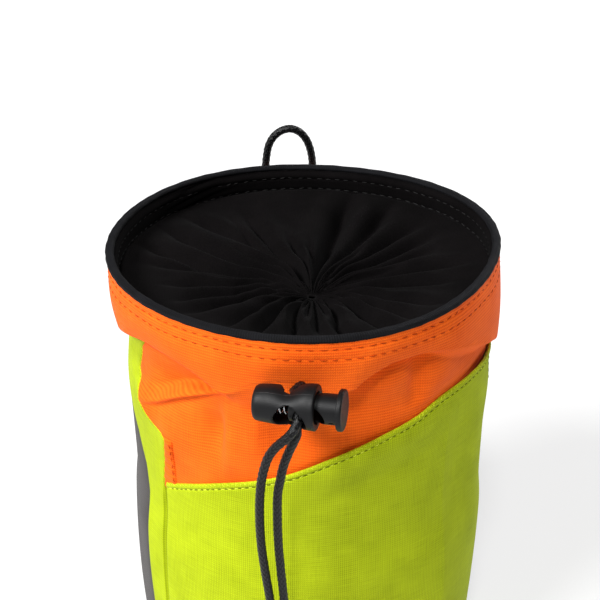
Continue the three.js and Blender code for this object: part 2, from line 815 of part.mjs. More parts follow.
function makeDrawcord() {
  add('drawcord_left', cordGeometry(LEFT_STRAND, cordDiameter, STRAND_STEPS), blackCloth());
  add('drawcord_right', cordGeometry(RIGHT_STRAND, cordDiameter, STRAND_STEPS), blackCloth());

  const leftEnd = LEFT_STRAND[LEFT_STRAND.length - 1];
  const rightEnd = RIGHT_STRAND[RIGHT_STRAND.length - 1];
  const [middleX, middleY, top] = leftEnd.map((value, axis) => (value + rightEnd[axis]) / 2);
  const foot = top - seatGap - knotHeight;
  // The knot's outline: distance from its middle line and height above its foot, as shares
  const outline = [
    { out: 0, up: 0 },
    { out: 0.55, up: 0.03 },
    { out: 0.9, up: 0.25 },
    { out: 1, up: 0.5 },
    { out: 0.95, up: 0.78 },
    { out: 0.75, up: 0.97 },
    { out: 0, up: 1 },
  ];
  const profile = outline.map(({ out, up }) => new THREE.Vector2((out * knotWidth) / 2, up * knotHeight));
  const lump = new THREE.LatheGeometry(profile, KNOT_SIDES);
  lump.rotateX(Math.PI / 2);
  lump.translate(middleX, middleY, foot);
  let knot = toSolid(lump);
  for (const side of [-1, 1]) {
    const tail = new THREE.CylinderGeometry(cordDiameter / 2, cordDiameter / 2, knotTail, CORD_SIDES);
    tail.rotateX(Math.PI / 2);
    tail.translate(middleX + side * knotTailSpread, middleY, foot + cordDiameter - knotTail / 2);
    knot = knot.add(toSolid(tail));
  }
  add('drawcord_knot', fromSolid(knot), blackCloth());
}

// The hanging loop and the sewn tab that holds its ends on the back of the collar
function makeLoop() {
  add('hang_loop', cordGeometry(HANGING_LOOP, loopDiameter, LOOP_STEPS), blackCloth());
  const first = HANGING_LOOP[0];
  const last = HANGING_LOOP[HANGING_LOOP.length - 1];
  const middleX = (first[0] + last[0]) / 2;
  const top = Math.min(first[2], last[2]) - seatGap;
  const inner = (angle, height) => collarOuter(angle, height) + seatGap;
  const middleAngle = 180 - THREE.MathUtils.radToDeg(middleX / rimRadius);
  const halfAngle = THREE.MathUtils.radToDeg(tabWidth / 2 / rimRadius);
  const face = (outward) => (u, v) => {
    const angle = mix(middleAngle - halfAngle, middleAngle + halfAngle, u);
    const height = mix(top - tabHeight, top, v);
    return place(angle, inner(angle, height) + outward, height);
  };
  add('loop_tab', shellGeometry({
    columns: 6, rows: evenRows(2), around: false, outer: face(tabThickness), inner: face(0),
  }), blackCloth());
}

makePiping();
makeCollar();
makeFacing();
makeClosure();
makePanels();
makePocket();
makeBase();
makeLock();
makeDrawcord();
makeLoop();

export default bag;
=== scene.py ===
"""The looks of a round drawstring chalk bag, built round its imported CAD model.

Lengths are in millimetres until a mesh is made. Angles round the bag are in degrees from the front (-Y),
positive towards +X. One degree at the bag's side is almost exactly one millimetre.
"""

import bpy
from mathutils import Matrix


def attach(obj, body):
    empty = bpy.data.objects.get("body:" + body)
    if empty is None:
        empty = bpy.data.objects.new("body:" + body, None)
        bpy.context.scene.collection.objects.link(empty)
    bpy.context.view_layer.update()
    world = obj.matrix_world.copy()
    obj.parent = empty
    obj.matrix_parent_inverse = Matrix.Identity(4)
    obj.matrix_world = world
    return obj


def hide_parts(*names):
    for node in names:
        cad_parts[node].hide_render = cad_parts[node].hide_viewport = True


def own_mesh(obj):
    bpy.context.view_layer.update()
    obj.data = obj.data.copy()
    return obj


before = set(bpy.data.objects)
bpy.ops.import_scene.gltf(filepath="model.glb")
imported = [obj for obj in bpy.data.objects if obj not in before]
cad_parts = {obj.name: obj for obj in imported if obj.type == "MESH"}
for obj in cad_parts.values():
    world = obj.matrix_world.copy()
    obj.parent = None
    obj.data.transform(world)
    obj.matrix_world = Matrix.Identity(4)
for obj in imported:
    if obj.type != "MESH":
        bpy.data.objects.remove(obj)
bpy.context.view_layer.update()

import math

import bpy
import numpy as np
from mathutils import Euler, Matrix, Vector

MM = 0.001

# Sizes, as in the CAD model
BAG_HEIGHT = 150.0
RIM_RADIUS = 60.3
SIDE_LEAN = 1.2
LEAN_DEPTH = 25.5
PIPING_WIDTH = 2.7
COLLAR_TOP = 146.9
COLLAR_INSET = 0.35
COLLAR_FOOT = 59.5
COLLAR_BULGE = 0.7
FACING_FOOT = 139.9
FACING_SEAMS = (145.9, 141.8)
ORANGE_THICKNESS = 0.9
HEM_THICKNESS = 0.7
PANEL_THICKNESS = 1.0
POCKET_THICKNESS = 0.8
KNIT_THICKNESS = 0.7
BASE_THICKNESS = 1.6
# The piping is flatter than its solid, so the collar reaches up to it
PIPING_HEIGHT = 1.9
PIPING_TOP = 150.2
CLOTH_TOP = 148.8
STITCH_ROWS = (146.6, 143.4)
CLOSURE_CENTRE = np.array([2.5, -8.0])
CORD_DIAMETER = 2.5
LOOP_DIAMETER = 2.4
# The cord's hole: its angle and height, how much wider than tall it is, and its edge, ring and reach
CORD_HOLE = (-1.0, 132.3)
CORD_HOLE_STRETCH = 2.6
CORD_HOLE_CUT = 2.9
CORD_HOLE_RING = 3.2
CORD_HOLE_REACH = 7
BRAID_REPEAT = 1.9
LOCK_END = (-13, -65.9, 133.9)
LOCK_YAW = 13.8
LOCK_PITCH = -2.6
LOCK_LENGTH = 16.9
LOCK_ENDS = (9.6, 12.5)
LOCK_DIP = 1.1
LOCK_HOLE = 9.0
LOCK_HOLE_AT = 10.3
LOCK_HOLE_SLOPE = 25
BORE = 8.8
BORE_END = 4.5
SPRING_POCKET = 6.0
LOCK_END_WALL = 1.5
NECK = 8.2
NECK_START = 9.8
FLANGE = 11.2
FLANGE_FACE = 22.6
FLANGE_THICKNESS = 1.5
SLOT_CENTRE = 15.2
SLOT_SIZE = (8.4, 6.4)
SPRING_WIDTH = 5.0
SPRING_WIRE = 0.6
SPRING_TURNS = 5
TAB_ANGLE = 184.8
TAB_HALF = 10.9
TAB_HEIGHT = 13.0
TAB_MIDDLE = 134.6
CASING_RADIUS = 3.7
CASING_THICKNESS = 1.15
CASING_HEIGHT = 130.4
CLOSURE_HEIGHT = 141.6
CLOSURE_SINK = 8.4
# A tube's ends close to this share of its width
TIP_OPENING = 0.001
STITCH_RINGS = 7
STITCH_SIDES = 6

# The camera, in metres and degrees
CAMERA_PLACE = (-0.00123, -0.3241, 0.3067)
CAMERA_DOWN = 28.84
CAMERA_LENS = 70.458
# Name, degrees from the front, degrees up, width in degrees, strength
LIGHTS = [("key", -58, 43, 22, 5.1), ("front", -10, 60, 9, 1.7), ("edge", 140, 24, 20, 1.5)]
WORLD_LIGHT = 0.06
FLOOR_GLOW = 0.62

# Height and radius of the tube's side outline
BODY_OUTLINE = [
    (0, 54.63), (3, 56.34), (9, 57.49), (33, 58.63), (60, 58.46), (75, 57.2), (93, 57.09),
    (108, 57.54), (118.5, 56.63), (124.5, 56.06), (150, 56.06),
]
# Angle and height of the collar's lower edge
COLLAR_EDGE = [
    (-180, 127.5), (-135, 125.8), (-90, 126.3), (-75, 128.8), (-60, 132.8), (-51, 134.9), (-42, 135.2),
    (-34.4, 134.0), (-29.5, 132.0), (-25.5, 130), (-22.2, 129.4), (-18.3, 131.6), (-13.4, 134.3), (-6, 136),
    (4, 134.5), (12.3, 132.4), (15.5, 135.1), (18.5, 137), (23, 138.7), (30, 139), (39, 138.2), (48, 135.6),
    (58, 131.8), (67, 127.4), (76, 124.2), (90, 122.6), (135, 123.8), (180, 127.5),
]
# Angle and height of the pocket's hem
POCKET_HEM = [
    (-50, 84.3), (-28.5, 94.1), (-13.3, 99.5), (-4.3, 103.1), (7.2, 108.3), (22, 113.6), (34.6, 116.3),
    (44.5, 119), (58.7, 119.7), (72, 119.2), (80, 119), (92, 119.5),
]
# Height and angle of the upright seams
GREY_LEFT = [
    (0, -59), (75, -60), (84, -62), (93, -68), (101, -77), (103.7, -80), (106.2, -83), (112.5, -92),
    (118.5, -98), (130.5, -103), (150, -105),
]
LEFT = [
    (0, -50.5), (75, -50.5), (82, -50.2), (89.6, -48.8), (98, -47.3), (103, -46.2), (104.4, -48.2),
    (105.3, -52.5), (107.3, -55.3), (109.3, -57.2), (111.6, -59.3), (113.7, -62.6), (118, -65.2),
    (126.6, -62), (131, -57.4), (150, -56),
]
RIGHT = [
    (0, 78), (75, 77), (93, 77), (103.7, 78), (112.5, 80), (118.5, 86), (130.5, 88), (150, 88),
]
GREY_RIGHT = [
    (0, 92), (75, 93), (84, 95), (93, 101), (101, 110), (106.2, 116), (112.5, 122), (118.5, 128),
    (130.5, 133), (150, 135),
]
# Angle and the height that the collar takes to run out into the front below it
FRONT_STEP = [
    (-180, 0.7), (-75, 0.7), (-29, 0.8), (-24, 2.6), (-18, 8), (-8, 20), (0, 26), (7, 17), (11, 4),
    (14, 1.1), (18, 0.8), (30, 0.9), (36, 2), (44, 5), (60, 5), (72, 1.5), (80, 0.7), (180, 0.7),
]
# Angle and height of the long crease across the left of the front
FOLD_LINE = [
    (-68, 109.6), (-58, 111.2), (-50.8, 113.9), (-41, 119.6), (-35, 122.3), (-29.5, 124.5),
    (-26, 126), (-23, 127.9), (-19, 130.2), (-13.9, 133.2), (-6, 134.5), (10, 136),
]
# The front's swellings and hollows: how far out, angle and its width, height and its width
SWELLINGS = [
    (2.1, -59, 8, 108.5, 6.5), (2.0, -19.5, 5.5, 127, 7), (0.9, -22, 5, 108, 10), (0.8, -46, 5, 104, 8),
    (2.0, 24, 6.5, 131, 6), (1.8, 42, 9, 129, 9), (-0.9, 12, 6, 126, 6), (0.7, -15.5, 3.2, 116, 12),
]

# The cords' routes, as in the CAD model
LEFT_STRAND = [
    (1, -13.6, 129.2), (-0.2, -22, 129.2), (-1.6, -34, 130.2), (-2.7, -46, 132.2), (-2.8, -54, 132.7),
    (-2.8, -58.2, 132.8), (-2.8, -60.3, 133.5), (-2.5, -62, 135), (-0.9, -63.6, 137.5),
    (-0.2, -65.7, 137.5), (-0.3, -67.4, 136.8), (-0.8, -69.5, 135.8), (-1.2, -71.3, 134.9),
    (-1.6, -73.1, 134.1), (-2, -74.6, 133.2), (-2.9, -75.9, 131.7), (-4.2, -76.2, 130),
    (-7.8, -75.5, 125.8), (-9.5, -75, 122.6), (-11, -74.3, 117), (-11.9, -73.5, 109.7),
    (-12.2, -72.8, 100), (-11.9, -72, 90), (-11, -71.3, 80), (-9.9, -70.8, 70), (-9, -70.4, 60),
    (-8.3, -70.2, 50), (-8, -70.1, 43.6),
]
RIGHT_STRAND = [
    (4, -13.6, 129.2), (3.3, -22, 129.2), (1.6, -34, 130.2), (0.4, -46, 132.2), (0.3, -54, 132.7),
    (0.6, -58, 132.7), (0.9, -60.2, 133.1), (0.4, -62.5, 134.7), (0.1, -64.3, 134.8), (0, -66.8, 133.9),
    (-0.4, -68.4, 133.2), (-0.8, -70.2, 132.4), (-1.3, -71.9, 131.5), (-1.9, -73.1, 130.7),
    (-2.1, -73.8, 128.8), (-2.8, -73.9, 126.8), (-3.9, -73.6, 123.9), (-5.6, -73.2, 118.4),
    (-6.6, -72.8, 112.9), (-7.2, -72.5, 108.9), (-7.4, -72, 100), (-7.2, -71.4, 90), (-6.6, -71, 80),
    (-5.9, -70.6, 70), (-5.3, -70.3, 60), (-4.9, -70.2, 50), (-4.7, -70.1, 43.6),
]
HANGING_LOOP = [
    (-13.4, 60.8, 141.4), (-13.5, 60.9, 145), (-13.3, 61, 149), (-12.9, 61.1, 152.5), (-12.2, 61.2, 156),
    (-10.5, 61.3, 159.2), (-7.7, 61.4, 161.5), (-4.4, 61.5, 162.2), (-1.3, 61.6, 160.9), (0.9, 61.8, 158.2),
    (2.2, 61.9, 155), (2.9, 62, 151.6), (3.2, 62.1, 148), (3.3, 62.1, 144.6), (3.3, 62.1, 141.4),
]


# Numbers
def curve(table, x):
    """Reads a smooth curve through a table of pairs."""
    xs, ys = np.array(table, float).T
    slopes = np.empty_like(ys)
    slopes[1:-1] = (ys[2:] - ys[:-2]) / (xs[2:] - xs[:-2])
    slopes[0] = (ys[1] - ys[0]) / (xs[1] - xs[0])
    slopes[-1] = (ys[-1] - ys[-2]) / (xs[-1] - xs[-2])
    x = np.clip(x, xs[0], xs[-1])
    i = np.clip(np.searchsorted(xs, x, side="right") - 1, 0, len(xs) - 2)
    span = xs[i + 1] - xs[i]
    t = (x - xs[i]) / span
    return ((2 * t**3 - 3 * t**2 + 1) * ys[i] + (t**3 - 2 * t**2 + t) * span * slopes[i]
            + (3 * t**2 - 2 * t**3) * ys[i + 1] + (t**3 - t**2) * span * slopes[i + 1])


def line(table, x):
    xs, ys = np.array(table, float).T
    return np.interp(x, xs, ys)


def step(x, low, high):
    t = np.clip((x - low) / (np.asarray(high) - low), 0, 1)
    return t * t * (3 - 2 * t)


def mix(a, b, t):
    return a + (b - a) * t


def bump(x, centre, width):
    return np.exp(-(((x - centre) / width) ** 2))


def half_turn(angle):
    return (np.asarray(angle, float) + 180) % 360 - 180


def place(angle, radius, height):
    turn, radius, height = np.broadcast_arrays(np.radians(angle), radius, height)
    return np.stack([radius * np.sin(turn), -radius * np.cos(turn), height], -1)


def waves(angle, turns, seed, spread=1.0):
    """A smooth wave round the bag, made of a few seeded harmonics."""
    source = np.random.default_rng(seed)
    total = 0
    for n in turns:
        size = spread * source.normal()
        total = total + size * np.sin(np.radians(n * angle) + source.uniform(0, 2 * np.pi))
    return total / math.sqrt(len(turns))


# Surfaces
def rim_outer(angle):
    a = np.radians(angle)
    return RIM_RADIUS * (1 + 0.0149 * np.cos(3 * a) - 0.0083 * np.sin(2 * a) + 0.0091 * np.sin(4 * a))


def collar_edge(angle):
    return curve(COLLAR_EDGE, half_turn(angle))


def lean(angle, height):
    return SIDE_LEAN * np.clip((BAG_HEIGHT - height) / LEAN_DEPTH, 0, 1) * np.sin(np.radians(angle))


def collar_outer(angle, height):
    share = np.clip((COLLAR_TOP - height) / (COLLAR_TOP - collar_edge(angle)), 0, 1.2)
    return (mix(rim_outer(angle) - COLLAR_INSET, COLLAR_FOOT, share)
            + COLLAR_BULGE * (1 - 0.6 * bump(half_turn(angle), 3, 24)) * np.sin(np.pi * np.minimum(share, 1))
            + lean(angle, height))


def side_outer(angle, height):
    return curve(BODY_OUTLINE, height) + lean(angle, height)


# Meshes
def grid_faces(rows, columns, around=False):
    """Quads of a grid of points, rows from the top down and columns to the right as seen from outside."""
    r, c = np.meshgrid(np.arange(rows - 1), np.arange(columns if around else columns - 1), indexing="ij")
    d = (c + 1) % columns
    quads = np.stack([(r + 1) * columns + c, (r + 1) * columns + d, r * columns + d, r * columns + c], -1)
    uv = np.stack([np.stack([c, r + 1], -1), np.stack([c + 1, r + 1], -1),
                   np.stack([c + 1, r], -1), np.stack([c, r], -1)], -2)
    return quads.reshape(-1, 4), uv.reshape(-1, 4, 2).astype(float)


def vertex_normals(points, quads):
    p = points[quads]
    face = np.cross(p[:, 2] - p[:, 0], p[:, 3] - p[:, 1])
    normals = np.zeros_like(points)
    for corner in range(4):
        np.add.at(normals, quads[:, corner], face)
    return normals / np.maximum(np.linalg.norm(normals, axis=1, keepdims=True), 1e-12)


def thicken(points, quads, uv, thickness, lip=0.45):
    """Makes a closed cloth shell from its outer face: an inner face, and a rounded lip round each edge."""
    count = len(points)
    normals = vertex_normals(points, quads)
    inner = points - normals * np.reshape(thickness, (-1, 1))
    tails = quads.ravel()
    heads = np.roll(quads, -1, axis=1).ravel()
    keys = tails.astype(np.int64) * count + heads
    back = heads.astype(np.int64) * count + tails
    open_edge = ~np.isin(keys, back)
    a, b = tails[open_edge], heads[open_edge]
    edge_uv = uv.reshape(-1, 2)[open_edge]
    edge_uv_next = np.roll(uv, -1, axis=1).reshape(-1, 2)[open_edge]
    outward = np.zeros_like(points)
    along = points[b] - points[a]
    side = np.cross(along, normals[a])
    np.add.at(outward, a, side)
    np.add.at(outward, b, side)
    rim = np.unique(np.concatenate([a, b]))
    direction = outward[rim] / np.maximum(np.linalg.norm(outward[rim], axis=1, keepdims=True), 1e-12)
    gap = np.broadcast_to(np.reshape(thickness, (-1, 1)), (count, 1))[rim]
    lips = (points[rim] + inner[rim]) / 2 + direction * gap * lip
    number = np.full(count, -1)
    number[rim] = 2 * count + np.arange(len(rim))
    outer_strip = np.stack([b, a, number[a], number[b]], -1)
    inner_strip = np.stack([number[b], number[a], a + count, b + count], -1)
    strip_uv = np.stack([edge_uv_next, edge_uv, edge_uv, edge_uv_next], 1)
    faces = np.concatenate([quads, quads[:, ::-1] + count, outer_strip, inner_strip])
    coordinates = np.concatenate([uv, uv[:, ::-1], strip_uv, strip_uv])
    return np.concatenate([points, inner, lips]), faces, coordinates


def make_object(name, points, faces, material, uv=None):
    """Makes a mesh object from points in millimetres and faces of 3 or 4 corners."""
    mesh = bpy.data.meshes.new(name)
    faces = np.asarray(faces)
    mesh.vertices.add(len(points))
    mesh.vertices.foreach_set("co", (np.asarray(points, float) * MM).ravel())
    corners = faces.shape[1]
    mesh.loops.add(faces.size)
    mesh.loops.foreach_set("vertex_index", faces.ravel().astype(np.int32))
    mesh.polygons.add(len(faces))
    mesh.polygons.foreach_set("loop_start", np.arange(0, faces.size, corners, dtype=np.int32))
    mesh.polygons.foreach_set("loop_total", np.full(len(faces), corners, np.int32))
    if uv is not None:
        layer = mesh.uv_layers.new(name="UVMap")
        layer.data.foreach_set("uv", np.asarray(uv, float).ravel())
    mesh.update(calc_edges=True)
    mesh.validate()
    mesh.polygons.foreach_set("use_smooth", np.full(len(mesh.polygons), True))
    mesh.materials.append(material)
    obj = bpy.data.objects.new(name, mesh)
    bpy.context.scene.collection.objects.link(obj)
    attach(obj, "bag")
    return obj


def cloth(name, points, material, thickness, around=False):
    """A closed shell from a grid of points on its outer face."""
    rows, columns = points.shape[:2]
    quads, uv = grid_faces(rows, columns, around)
    flat, quads, uv = thicken(points.reshape(-1, 3), quads, uv, thickness)
    return make_object(name, flat, quads, material, uv / [columns, rows])


def smooth_path(points, spacing):
    """A centripetal curve through points, sampled at an even spacing."""
    p = np.asarray(points, float)
    p = np.concatenate([[2 * p[0] - p[1]], p, [2 * p[-1] - p[-2]]])
    samples = []
    for i in range(1, len(p) - 2):
        gaps = [max(np.linalg.norm(p[j + 1] - p[j]) ** 0.5, 1e-4) for j in range(i - 1, i + 2)]
        t0, t1, t2, t3 = np.cumsum([0] + gaps)
        t = np.linspace(t1, t2, 40, endpoint=False)[:, None]
        a1 = (t1 - t) / (t1 - t0) * p[i - 1] + (t - t0) / (t1 - t0) * p[i]
        a2 = (t2 - t) / (t2 - t1) * p[i] + (t - t1) / (t2 - t1) * p[i + 1]
        a3 = (t3 - t) / (t3 - t2) * p[i + 1] + (t - t2) / (t3 - t2) * p[i + 2]
        b1 = (t2 - t) / (t2 - t0) * a1 + (t - t0) / (t2 - t0) * a2
        b2 = (t3 - t) / (t3 - t1) * a2 + (t - t1) / (t3 - t1) * a3
        samples.append((t2 - t) / (t2 - t1) * b1 + (t - t1) / (t2 - t1) * b2)
    samples = np.concatenate(samples + [p[-2:-1]])
    lengths = np.concatenate([[0], np.cumsum(np.linalg.norm(np.diff(samples, axis=0), axis=1))])
    count = max(int(round(lengths[-1] / spacing)), 2)
    even = np.linspace(0, lengths[-1], count + 1)
    return np.stack([np.interp(even, lengths, samples[:, k]) for k in range(3)], -1), lengths[-1]


def frames(path, first=(0, 1, 0)):
    """Directions across a path that turn as little as they can."""
    along = np.gradient(path, axis=0)
    along /= np.linalg.norm(along, axis=1, keepdims=True)
    side = np.array(first, float)
    side -= along[0] * (side @ along[0])
    if np.linalg.norm(side) < 1e-3:
        side = np.cross(along[0], [1, 0, 0])
    sides = []
    for tangent in along:
        side = side - tangent * (side @ tangent)
        side = side / np.linalg.norm(side)
        sides.append(side)
    sides = np.array(sides)
    return along, sides, np.cross(along, sides)


def tube_points(path, radius, sides, first=(0, 1, 0)):
    """Points of a tube. radius is a number, or one for each point of the path and side."""
    _, one, two = frames(path, first)
    turn = np.linspace(0, 2 * np.pi, sides, endpoint=False)
    ring = one[:, None] * np.cos(turn)[None, :, None] + two[:, None] * np.sin(turn)[None, :, None]
    radius = np.broadcast_to(radius, (len(path), sides))
    return path[:, None] + ring * radius[..., None]


def capped(points):
    """Closes the two ends of a tube of points with rounded tips."""
    first, last = points[0].mean(0), points[-1].mean(0)
    before = first + (first - points[1].mean(0)) * 0.4
    after = last + (last - points[-2].mean(0)) * 0.4
    start = mix(before, points[:1], TIP_OPENING)
    end = mix(after, points[-1:], TIP_OPENING)
    return np.concatenate([start, points, end])


def braid(along, around, carriers=6):
    """The height of a braid's yarns, from 0 to 1. along is in millimetres and around in turns."""
    one = carriers * around + along / BRAID_REPEAT
    two = carriers * around - along / BRAID_REPEAT
    i, j = np.round(one), np.round(two)
    profile_one = np.sqrt(np.maximum(1 - (2 * (one - i)) ** 2, 0))
    profile_two = np.sqrt(np.maximum(1 - (2 * (two - j)) ** 2, 0))
    over_one = 0.5 + 0.5 * np.cos(np.pi * (two + i))
    over_two = 0.5 - 0.5 * np.cos(np.pi * (one + j))
    return np.maximum(profile_one * (0.35 + 0.65 * over_one), profile_two * (0.35 + 0.65 * over_two))


def braided_tube(path, diameter, sides=32, first=(0, 1, 0)):
    steps = np.concatenate([[0], np.cumsum(np.linalg.norm(np.diff(path, axis=0), axis=1))])
    around = np.arange(sides) / sides
    height = braid(steps[:, None], around[None, :])
    radius = diameter / 2 * (0.79 + 0.25 * height)
    return tube_points(path, radius, sides, first), steps


def braided_cord(name, route, diameter, material, spacing=0.2, first=(0, 1, 0), full=1.0):
    path, length = smooth_path(route, spacing)
    points, steps = braided_tube(path, diameter * full, first=first)
    rings = capped(points)
    rows, sides = rings.shape[:2]
    quads, uv = grid_faces(rows, sides, around=True)
    scale = np.array([1 / sides, steps[-1] / BRAID_REPEAT / rows])
    obj = make_object(name, rings[::-1].reshape(-1, 3), quads, material, uv * scale)
    return obj, path[::6], length


def stitches(name, path, normals, material, pitch=3.3, dash=2.2, width=0.36, rise=0.2, wander=0.0):
    """A row of sewn stitches along a path on a surface: each a short thread that dips in at both ends."""
    lengths = np.concatenate([[0], np.cumsum(np.linalg.norm(np.diff(path, axis=0), axis=1))])
    count = int(lengths[-1] / pitch)
    share = np.linspace(0, 1, STITCH_RINGS)
    arch = np.array([-0.9, 0.35, 0.85, 1, 0.85, 0.35, -0.9])
    thin = np.array([0.5, 0.85, 1, 1.05, 1, 0.85, 0.5])
    all_points, all_faces = [], []
    total = 0
    source = np.random.default_rng(len(path) + count)
    for k in range(count):
        start = (k + 0.5) * lengths[-1] / count - dash / 2 + source.normal() * 0.12
        size = dash * (1 + 0.08 * source.normal())
        at = start + share * size
        p = np.stack([np.interp(at, lengths, path[:, i]) for i in range(3)], -1)
        n = np.stack([np.interp(at, lengths, normals[:, i]) for i in range(3)], -1)
        n /= np.linalg.norm(n, axis=1, keepdims=True)
        tangent = p[-1] - p[0]
        across = np.cross(n[3], tangent / np.linalg.norm(tangent))
        skew = wander * source.normal() * np.linspace(-1, 1, STITCH_RINGS)
        p = p + n * (rise * arch)[:, None] + across * skew[:, None]
        ring = tube_points(p, width / 2 * thin[:, None], STITCH_SIDES, first=n[3])
        quads, _ = grid_faces(STITCH_RINGS, STITCH_SIDES, around=True)
        all_points.append(ring[::-1].reshape(-1, 3))
        all_faces.append(quads + total)
        caps = np.array([[0, 1, 2, 3], [0, 3, 4, 5]])
        all_faces.append(caps + total)
        all_faces.append(caps[:, ::-1] + total + (STITCH_RINGS - 1) * STITCH_SIDES)
        total += STITCH_RINGS * STITCH_SIDES
    return make_object(name, np.concatenate(all_points), np.concatenate(all_faces), material)


# Materials
class Shader:
    """A small builder of procedural materials."""

    def __init__(self, name, **sockets):
        self.material = bpy.data.materials.new(name)
        self.material.use_nodes = True
        self.tree = self.material.node_tree
        self.surface = self.tree.nodes["Principled BSDF"]
        for socket, value in sockets.items():
            self.surface.inputs[socket.replace("_", " ")].default_value = value

    def node(self, kind, *inputs, **settings):
        made = self.tree.nodes.new(kind)
        for key, value in settings.items():
            setattr(made, key, value)
        for socket, value in zip(made.inputs, inputs):
            self.put(socket, value)
        return made

    def put(self, socket, value):
        if value is None:
            return
        if isinstance(value, bpy.types.NodeSocket):
            self.tree.links.new(value, socket)
        else:
            socket.default_value = value

    def math(self, operation, *inputs, clamp=False):
        return self.node("ShaderNodeMath", *inputs, operation=operation, use_clamp=clamp).outputs[0]

    def times(self, *factors, clamp=False):
        return self.math("MULTIPLY", *factors, clamp=clamp)

    def plus(self, *terms, clamp=False):
        return self.math("ADD", *terms, clamp=clamp)

    def noise(self, vector, scale, detail=2.0, rough=0.5):
        made = self.node("ShaderNodeTexNoise", vector)
        made.inputs["Scale"].default_value = scale
        made.inputs["Detail"].default_value = detail
        made.inputs["Roughness"].default_value = rough
        return made.outputs["Fac"]

    def blend(self, share, a, b):
        made = self.node("ShaderNodeMix", data_type="RGBA")
        self.put(made.inputs[0], share)
        self.put(made.inputs[6], a)
        self.put(made.inputs[7], b)
        return made.outputs[2]

    def ramp(self, value, low, high):
        made = self.node("ShaderNodeMapRange")
        self.put(made.inputs[0], value)
        made.inputs[1].default_value, made.inputs[2].default_value = low, high
        return made.outputs[0]

    def place(self):
        return self.node("ShaderNodeTexCoord").outputs["Object"]

    def uv(self):
        return self.node("ShaderNodeTexCoord").outputs["UV"]

    def split(self, vector):
        return self.node("ShaderNodeSeparateXYZ", vector).outputs

    def join(self, x, y, z=0.0):
        return self.node("ShaderNodeCombineXYZ", x, y, z).outputs[0]

    def bump(self, height, distance, strength=1.0, normal=None):
        made = self.node("ShaderNodeBump")
        made.inputs["Strength"].default_value = strength
        made.inputs["Distance"].default_value = distance
        self.put(made.inputs["Height"], height)
        self.put(made.inputs["Normal"], normal)
        return made.outputs[0]

    def finish(self, color=None, normal=None, roughness=None):
        self.put(self.surface.inputs["Base Color"], color)
        self.put(self.surface.inputs["Normal"], normal)
        self.put(self.surface.inputs["Roughness"], roughness)
        return self.material


def threads_round(shader, count, pitch):
    """Thread numbers round the bag and up its side."""
    x, y, z = shader.split(shader.place())
    turn = shader.math("ARCTAN2", x, shader.times(y, -1.0))
    return shader.times(turn, count / (2 * math.pi)), shader.math("DIVIDE", z, pitch)


def weave(shader, u, v):
    """The height of a plain weave, from -1 to 1."""
    one = shader.math("SINE", shader.times(u, math.pi))
    two = shader.math("SINE", shader.times(v, math.pi))
    return shader.times(one, two)


def woven(name, light, dark, sheen, count=1200, pitch=0.00035, rows=False, **more):
    """A coarse plain-woven cloth: its threads, with painted highlight on their crowns and painted shade
    between them, thicker and thinner yarns, and faint blotches.
    """
    shader = Shader(name, Roughness=0.78, Sheen_Weight=sheen, Sheen_Roughness=0.4, **more)
    u, v = threads_round(shader, count, pitch)
    ribs = shader.math("COSINE", shader.times(v if rows else u, math.pi))
    cross = shader.math("COSINE", shader.times(u if rows else v, math.pi))
    height = shader.plus(shader.times(weave(shader, u, v), 0.45), shader.times(ribs, 0.42))
    height = shader.plus(height, shader.times(cross, 0.24))
    yarn = shader.noise(shader.join(shader.times(u, 0.035), v), 1.0, 1.0)
    rise = shader.noise(shader.join(u, shader.times(v, 0.03)), 1.0, 1.0)
    blotch = shader.noise(shader.place(), 90.0, 3.0)
    # Painted highlight and shade: the tone follows the weave's height, so thread crowns are lighter and the
    # hollows between threads darker. The yarn and blotch noise is the cloth's own uneven tone.
    tone = shader.plus(shader.times(height, 0.42), 0.5)
    for variation, amount in ((yarn, 0.45), (rise, 0.35), (blotch, 0.5)):
        tone = shader.plus(tone, shader.times(shader.math("SUBTRACT", variation, 0.5), amount))
    total = shader.plus(height, shader.times(yarn, 0.8))
    return shader.finish(shader.blend(tone, (*dark, 1), (*light, 1)), shader.bump(total, 0.00006, 0.8))


def brushed(name, light, dark):
    """A soft black knit with a brushed, uneven face."""
    shader = Shader(name, Roughness=0.9, Sheen_Weight=0.008, Sheen_Roughness=0.5, Specular_IOR_Level=0.02)
    spot = shader.place()
    fine = shader.noise(spot, 2600.0, 3.0, 0.7)
    x, y, _ = shader.split(spot)
    ribs = shader.math("SINE", shader.times(shader.plus(x, shader.times(y, 0.12)), 9000.0))
    cloud = shader.ramp(shader.noise(spot, 60.0, 4.0, 0.6), 0.35, 0.75)
    tone = shader.plus(shader.times(fine, 1.2), shader.times(cloud, 0.5))
    tone = shader.times(tone, 0.75, clamp=True)
    height = shader.plus(fine, shader.times(ribs, 0.12))
    return shader.finish(shader.blend(tone, (*dark, 1), (*light, 1)), shader.bump(height, 0.00006, 0.9))


def thread(name, light, dark):
    """Sewing thread: fine twisted filaments."""
    shader = Shader(name, Roughness=0.7, Specular_IOR_Level=0.1)
    fine = shader.noise(shader.place(), 6000.0, 2.0)
    return shader.finish(shader.blend(fine, (*dark, 1), (*light, 1)), shader.bump(fine, 0.00004, 0.6))


